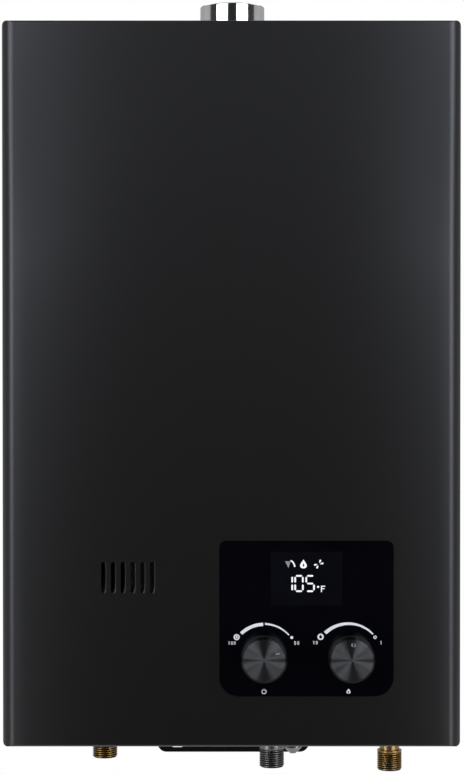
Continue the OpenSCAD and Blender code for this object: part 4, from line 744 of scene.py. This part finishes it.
def make_fitting(node, neck, tones):
    """A pipe fitting with a cut thread below its flange and a plain shank inside the casing."""
    low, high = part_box(node)
    axis = middle(node)
    flange_r = (high.x - low.x) / 2
    flange_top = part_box("base_plate")[0].z
    flange_low = flange_top - FITTING_FLANGE
    turns = math.ceil(THREAD_LENGTH / THREAD_PITCH)
    mouth = [(FITTING_BORE_R, low.z + THREAD_BEVEL / 2), (FITTING_BORE_R + THREAD_BEVEL / 2, low.z)]
    upper = rounded([
        (neck, low.z + THREAD_LENGTH, 0), (neck, flange_low, FITTING_EDGE),
        (flange_r, flange_low, FITTING_FLANGE_LOWER), (flange_r, flange_top, FITTING_FLANGE_UPPER),
        (THREAD_R, flange_top, 0), (THREAD_R, high.z, FITTING_EDGE),
        (FITTING_BORE_R, high.z, 0)], closed=False)

    def profile_at(angle):
        thread = []
        for turn in range(-1, turns + 1):
            for share, sink in THREAD_FORM:
                up = (turn + share + angle / (2 * math.pi)) * THREAD_PITCH
                up = min(max(up, 0), THREAD_LENGTH)
                runout = min(1, (THREAD_LENGTH - up) / (RUNOUT_TURNS * THREAD_PITCH))
                radius = THREAD_R - THREAD_DEPTH * sink * runout
                thread.append((min(radius, THREAD_R - THREAD_BEVEL + up), low.z + up))
        return mouth + thread + upper

    points, faces = turned(profile_at, THREAD_SIDES)
    points = [(axis.x + x, axis.y + y, z) for x, y, z in points]
    finish = threaded(node + "_metal", *tones, 2 * flange_r, THREAD_LENGTH / (high.z - low.z))
    piece = add_mesh(node + "_threaded", points, faces, finish.material, sharp=50)
    settle(piece, nodes=[node])


# Printed and lit signs

class Signs:
    """Flat shapes on a face that looks to -Y, in millimetres from a point of that face."""

    def __init__(self, face_y, origin):
        self.face_y = face_y
        self.origin = origin
        self.points = []
        self.faces = []

    def add(self, outline):
        """Front and back points of an outline, and the number of the first."""
        first = len(self.points)
        for y in (self.face_y - PRINT_THICKNESS, self.face_y):
            self.points += [(self.origin.x + x * MM, y, self.origin.z + z * MM) for x, z in outline]
        return first

    def fill(self, outline):
        """A filled outline."""
        first, n = self.add(outline), len(outline)
        self.faces.append(tuple(first + i for i in range(n)))
        self.faces.append(tuple(first + n + i for i in range(n)))
        for i in range(n):
            k = (i + 1) % n
            self.faces.append((first + i, first + k, first + n + k, first + n + i))

    def stripe(self, left, right, closed=False):
        """The band between two edges with as many points each."""
        n = len(left)
        one, two = self.add(left), self.add(right)
        for i in range(n if closed else n - 1):
            k = (i + 1) % n
            self.faces.append((one + i, one + k, two + k, two + i))
            self.faces.append((one + n + i, one + n + k, two + n + k, two + n + i))
            for edge in (one, two):
                self.faces.append((edge + i, edge + k, edge + n + k, edge + n + i))
        if not closed:
            for i in (0, n - 1):
                self.faces.append((one + i, two + i, two + n + i, one + n + i))

    def stroke(self, path, width):
        """A line of a width along a path."""
        left, right = [], []
        for i, (x, z) in enumerate(path):
            back, ahead = path[max(i - 1, 0)], path[min(i + 1, len(path) - 1)]
            way = Vector((ahead[0] - back[0], ahead[1] - back[1])).normalized() * width / 2
            left.append((x - way.y, z + way.x))
            right.append((x + way.y, z - way.x))
        self.stripe(left, right)

    def disc(self, x, z, radius):
        """A filled circle."""
        self.fill(shifted(circle(radius), x, z))

    def ring(self, x, z, radius, width, tall=1.0):
        """A circle's line, or an upright oval's where it is tall."""
        edges = [circle(r) for r in (radius - width, radius)]
        grow = [(tall * radius - width) / (radius - width), tall]
        left, right = [[(x + a, z + b * g) for a, b in edge] for edge, g in zip(edges, grow)]
        self.stripe(left, right, closed=True)

    def drop(self, x, z, size, core_size, core_shift):
        """A drop's outline with a smaller drop left open in it."""
        core_x, core_z = core_shift
        core = shifted(teardrop(*core_size), x + core_x, z + core_z)
        self.stripe(core, shifted(teardrop(*size), x, z), closed=True)

    def bar(self, start, end):
        """A display segment with cut-off ends."""
        start, end = Vector(start), Vector(end)
        way = (end - start).normalized()
        side = Vector((-way.y, way.x)) * SEGMENT_W / 2
        slope = way * SEGMENT_W * SEGMENT_SLOPE
        tip = side * SEGMENT_TIP
        corners = [start + tip, start - tip, start + slope - side, end - slope - side,
                   end - tip, end + tip, end - slope + side, start + slope + side]
        self.fill([tuple(corner) for corner in corners])

    def make(self, name, finish):
        """The shapes as one piece."""
        settle(add_mesh(name, self.points, self.faces, finish.material))


def seven_segments(signs, digit, left):
    """A digit of the display, in a cell with its left edge at a place."""
    lit = {"0": "abcdef", "1": "bc", "5": "afgcd"}[digit]
    half = SEGMENT_W / 2
    west, east = left + half, left + DIGIT_W - half
    roof, mid, floor = DIGIT_TOP - half, (DIGIT_TOP + DIGIT_FOOT) / 2, DIGIT_FOOT + half
    inset, drop, gap = [SEGMENT_W * share for share in (SEGMENT_SIDE, SEGMENT_TOP, SEGMENT_GAP)]
    start, end = left + inset, left + DIGIT_W - inset
    top, bottom = DIGIT_TOP - drop, DIGIT_FOOT + drop
    above, below = mid + gap, mid - gap
    ends = {
        "a": ((start, roof), (end, roof)),
        "b": ((east, top), (east, above)),
        "c": ((east, below), (east, bottom)),
        "d": ((start, floor), (end, floor)),
        "e": ((west, below), (west, bottom)),
        "f": ((west, top), (west, above)),
        "g": ((start, mid), (end, mid)),
    }
    for segment in lit:
        signs.bar(*ends[segment])


def unit_sign(signs):
    """A degree dot and the letter F, after the digits."""
    dot_x, dot_z, dot_r = 9.3, -6.7, 0.9
    stem, stem_top, stem_line = 12.0, -5.8, 0.85
    arms_start = 12.4
    signs.disc(dot_x, dot_z, dot_r)
    signs.stroke([(stem, stem_top), (stem, DIGIT_FOOT)], stem_line)
    for height, end, line in ((-6.2, 15.0, 0.8), (-8.2, 14.4, 0.75)):
        signs.stroke([(arms_start, height), (end, height)], line)


def fan_sign(signs):
    """Four blades about a hub, in two opposite pairs."""
    hub_x, hub_z, hub_r, tip_r = 9.8, 11.7, 0.9, 3.9
    # Corners of a blade: distance to its left, and share of the way from the hub to the tip
    blade = ((0.0, 0.0), (0.7, 0.45), (0.95, 0.775), (0.6, 1.0), (-0.35, 0.95), (-0.6, 0.65))
    for way in (62, 8, 242, 188):
        turn = math.radians(way)
        ahead = Vector((math.cos(turn), math.sin(turn)))
        left = Vector((-ahead.y, ahead.x))
        corners = [ahead * (hub_r + share * (tip_r - hub_r)) + left * aside for aside, share in blade]
        signs.fill([(hub_x + corner.x, hub_z + corner.y) for corner in corners])


def make_display():
    """The lit window: a shower, a drop and a fan above the temperature and its unit."""
    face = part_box("display_window")[0].y
    place = middle("display_window")
    signs = Signs(face, place)
    for digit, left in DIGIT_PLACES:
        seven_segments(signs, digit, left)
    unit_sign(signs)
    shower_pipe = [(-13.0, 14.4), (-11.9, 14.1), (-10.7, 12.7), (-9.9, 11.1), (-9.5, 9.5)]
    shower_line = 1.2
    shower_spray = [(-17.35, 13.9), (-12.9, 14.3), (-14.65, 8.66)]
    drop_x, drop_z = -2.6, 11.9
    signs.stroke(shower_pipe, shower_line)
    signs.drop(drop_x, drop_z, size=(5.425, 7.3), core_size=(1.1935, 3.0), core_shift=(0.1, -0.7))
    fan_sign(signs)
    signs.make("display_signs", GLOW)
    spray = Signs(face, place)
    spray.fill(shower_spray)
    spray.make("display_spray", DIM_GLOW)


def figures(signs, digits, x, z):
    """Plain figures, set about a point. Only 0, 1 and 5 are drawn."""
    line, half = FIGURE_LINE, FIGURE_LINE / 2
    top, bottom = z + FIGURE_H / 2, z - FIGURE_H / 2
    flag_start, flag_end, flag_line = 0.6 * line, 0.22 * FIGURE_H, 0.9 * line
    bowl_r, bowl_start, bowl_end = 0.31 * FIGURE_H - half, -60, 230
    for i, digit in enumerate(digits):
        mid = x + FIGURE_PITCH * (i - (len(digits) - 1) / 2)
        left, right = mid - FIGURE_W / 2 + half, mid + FIGURE_W / 2 - half
        if digit == "0":
            signs.ring(mid, z, FIGURE_W / 2, line, tall=FIGURE_H / FIGURE_W)
        elif digit == "1":
            signs.stroke([(mid, bottom), (mid, top)], line)
            signs.stroke([(mid - half, top - flag_start), (left, top - flag_end)], flag_line)
        elif digit == "5":
            signs.stroke([(left, z + line), (left, top - line)], line)
            signs.stroke([(left - half, top - half), (right, top - half)], line)
            bowl = arc(bowl_r, bowl_start, bowl_end, steps=16)
            signs.stroke(shifted(bowl, mid - half, bottom + bowl_r + half), line)


def power_scale(signs):
    """A thick and a thin half between a ring and a dot, with numbers at the ends, over a power sign."""
    inner, outer, thick_end = 25.3, 28.0, -1.6
    thin_r, thin_start, thin_end = 26.95, 1.8, 48.3
    marks_r = 27.5
    ring_r, ring_line, core_r = 2.5, 1.15, 0.85
    dot_angle, dot_r = 54.5, 1.25
    figures_z, left_x, right_x = 11.5, -26.0, 26.4
    sign_z, sign_r, sign_line, opening = -27.8, 1.75, 0.55, 35
    stem_low, stem_top = -27.5, -25.6
    signs.stripe(arc(inner, SCALE_START, thick_end), arc(outer, SCALE_START, thick_end))
    signs.stripe(*tapered(thin_r, thin_start, thin_end, first=1.6, last=1.1))
    signs.ring(*polar(marks_r, SCALE_MARK), ring_r, ring_line)
    signs.disc(*polar(marks_r, SCALE_MARK), core_r)
    signs.disc(*polar(marks_r, dot_angle), dot_r)
    figures(signs, "100", left_x, figures_z)
    figures(signs, "50", right_x, figures_z)
    signs.stroke(shifted(arc(sign_r, opening, 360 - opening), 0, sign_z), sign_line)
    signs.stroke([(0, stem_low), (0, stem_top)], sign_line)


def gas_scale(signs):
    """A tapered band between a disc with a drop in it and a small ring, with numbers, over a flame."""
    band_r, band_end = 27.2, 46.5
    disc_place_r, disc_r = 28.0, 2.6
    hollow_w, hollow_h, hollow_lift = 2.387, 3.1, 0.2
    ring_place_r, ring_angle, ring_r, ring_line = 26.9, 52.9, 1.4, 0.75
    figures_z, left_x, right_x = 11.8, -26.9, 26.3
    flame_z = -27.4
    signs.stripe(*tapered(band_r, SCALE_START, band_end, first=2.9, last=1.3))
    x, z = polar(disc_place_r, SCALE_MARK)
    outer = shifted(circle(disc_r), x, z)
    hollow = shifted(teardrop(hollow_w, hollow_h, steps=len(outer)), x, z + hollow_lift)
    signs.stripe(hollow, outer, closed=True)
    signs.ring(*polar(ring_place_r, ring_angle), ring_r, ring_line)
    figures(signs, "10", left_x, figures_z)
    figures(signs, "1", right_x, figures_z)
    signs.drop(0, flame_z, size=(3.472, 4.2), core_size=(1.4105, 1.9), core_shift=(0, -0.6))


def make_dial_prints():
    """White scales round both knobs, with plain numbers at their ends and a sign under each knob."""
    signs = Signs(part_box("control_panel")[0].y, middle("power_knob"))
    power_scale(signs)
    signs.origin = middle("gas_knob") - Vector((GAS_SCALE_SHIFT, 0, 0))
    gas_scale(signs)
    signs.make("dial_prints", PRINT)


# Camera, lights and floor

def make_camera():
    """The photograph's view: square to the front, a little above the middle and right of it."""
    lens = bpy.data.cameras.new("camera")
    lens.lens = CAMERA_LENS
    lens.sensor_width = CAMERA_SENSOR
    lens.shift_x = CAMERA_SHIFT
    lens.clip_end = CAMERA_REACH
    camera = bpy.data.objects.new("camera", lens)
    camera.location = CAMERA_PLACE
    aim = Vector(CAMERA_AIM) - camera.location
    camera.rotation_euler = aim.to_track_quat("-Z", "Y").to_euler()
    bpy.context.scene.collection.objects.link(camera)
    bpy.context.scene.camera = camera


def make_lamp(name, place, size, radiance, colour=(1, 1, 1)):
    """A soft box of a size (width, height) that lights the object and isn't seen itself."""
    lamp = bpy.data.lights.new(name, "AREA")
    lamp.shape = "RECTANGLE"
    lamp.size, lamp.size_y = size
    lamp.energy = radiance * math.pi * size[0] * size[1]
    lamp.color = colour
    box = bpy.data.objects.new(name, lamp)
    box.location = place
    box.rotation_euler = (Vector(LAMP_AIM) - Vector(place)).to_track_quat("-Z", "Y").to_euler()
    box.visible_camera = False
    bpy.context.scene.collection.objects.link(box)


def make_lights():
    """Soft boxes high at both sides, strips beside and below them, weak boxes behind, a small one above."""
    for side, strength in ((-1, 1.0), (1, 1.05)):
        make_lamp("front_box", (side * 1.1, -1.87, 1.36), (1.1, 1.2), 4.1 * strength, COLD_LIGHT)
        make_lamp("side_strip", (side * 1.46, -1.36, 0.65), (0.6, 1.4), 5.4 * strength, COLD_LIGHT)
        make_lamp("low_strip", (side * 1.46, -1.36, -0.6), (0.6, 0.6), 5.3 * strength)
        make_lamp("rear_box", (side * 1.2, 1.6, 2.6), (1.2, 1.2), 2.0)
    make_lamp("top_box", (0.75, -0.15, 2.2), (0.5, 0.4), 4.0)


def make_world():
    """White behind the object, grey beside that and dark elsewhere, for what reflects it."""
    world = bpy.data.worlds.new("studio")
    world.use_nodes = True
    bpy.context.scene.world = world
    shading = Shading(world.node_tree)
    direction = shading.split(shading.node("ShaderNodeTexCoord").outputs["Generated"])
    ramp = shading.node("ShaderNodeValToRGB", {"Fac": shading.level(direction["Y"], 0, 1, -1, 1)})
    stops = ramp.color_ramp.elements
    for place, level in WORLD_LEVELS:
        stops.new(place).color = (level, level, level, 1)
    stops[0].color = (FRONT_LEVEL, FRONT_LEVEL, FRONT_LEVEL, 1)
    stops[-1].color = (1, 1, 1, 1)
    path = shading.node("ShaderNodeLightPath").outputs
    seen = shading.value("MAXIMUM", path["Is Camera Ray"], path["Is Transmission Ray"])
    colour = shading.blend(seen, ramp.outputs["Color"], (1, 1, 1))
    shading.tree.links.new(colour, shading.tree.nodes["Background"].inputs["Color"])


def make_floor():
    """A pale floor, open from below, with the hung object's shadow. It fades into the white round it."""
    level, reach, front, behind = -0.6, 1.5, -0.7, 1.6
    fade_start, fade_end, least_glow = 0.5, 0.9, 0.5
    points = [(x, y, level) for x, y in ((-reach, front), (reach, front), (reach, behind), (-reach, behind))]
    mesh = bpy.data.meshes.new("floor")
    mesh.from_pydata(points, [], [(0, 1, 2, 3)])
    floor = bpy.data.objects.new("floor", mesh)
    bpy.context.scene.collection.objects.link(floor)
    finish = Finish("pale_floor", Base_Color=(0.86, 0.86, 0.86, 1), Roughness=0.9)
    mesh.materials.append(finish.material)
    path = finish.node("ShaderNodeLightPath").outputs
    seen = finish.value("MAXIMUM", path["Is Camera Ray"], path["Is Glossy Ray"])
    seen = finish.value("MAXIMUM", seen, path["Is Transmission Ray"])
    distance = finish.length(finish.vector("MULTIPLY", finish.space, (1, 1, 0)))
    share = finish.value("MULTIPLY", seen, finish.level(distance, least_glow, 1.0, fade_start, fade_end))
    glow = finish.node("ShaderNodeEmission", {"Color": (1, 1, 1, 1), "Strength": 1.0}).outputs[0]
    above = finish.node("ShaderNodeMixShader", {0: share, 1: finish.shader.outputs[0], 2: glow}).outputs[0]
    below = finish.node("ShaderNodeBsdfTransparent").outputs[0]
    under = finish.node("ShaderNodeNewGeometry").outputs["Backfacing"]
    surface = finish.node("ShaderNodeMixShader", {0: under, 1: above, 2: below}).outputs[0]
    finish.tree.links.new(surface, finish.tree.nodes["Material Output"].inputs["Surface"])


make_camera()
make_lights()
make_world()
make_floor()
finish_nodes()
make_knob("power_knob", "power_dial", POWER_MARK)
make_knob("gas_knob", "gas_dial", GAS_MARK)
make_louvre_lips()
make_flue_collar()
make_cover_screws()
make_flue_screws()
make_fitting("hot_outlet", WATER_NECK_R, BRASS)
make_fitting("cold_inlet", WATER_NECK_R, BRASS)
make_fitting("gas_inlet", GAS_NECK_R, STEEL)
make_display()
make_dial_prints()

bpy.context.scene.view_settings.view_transform = "Standard"
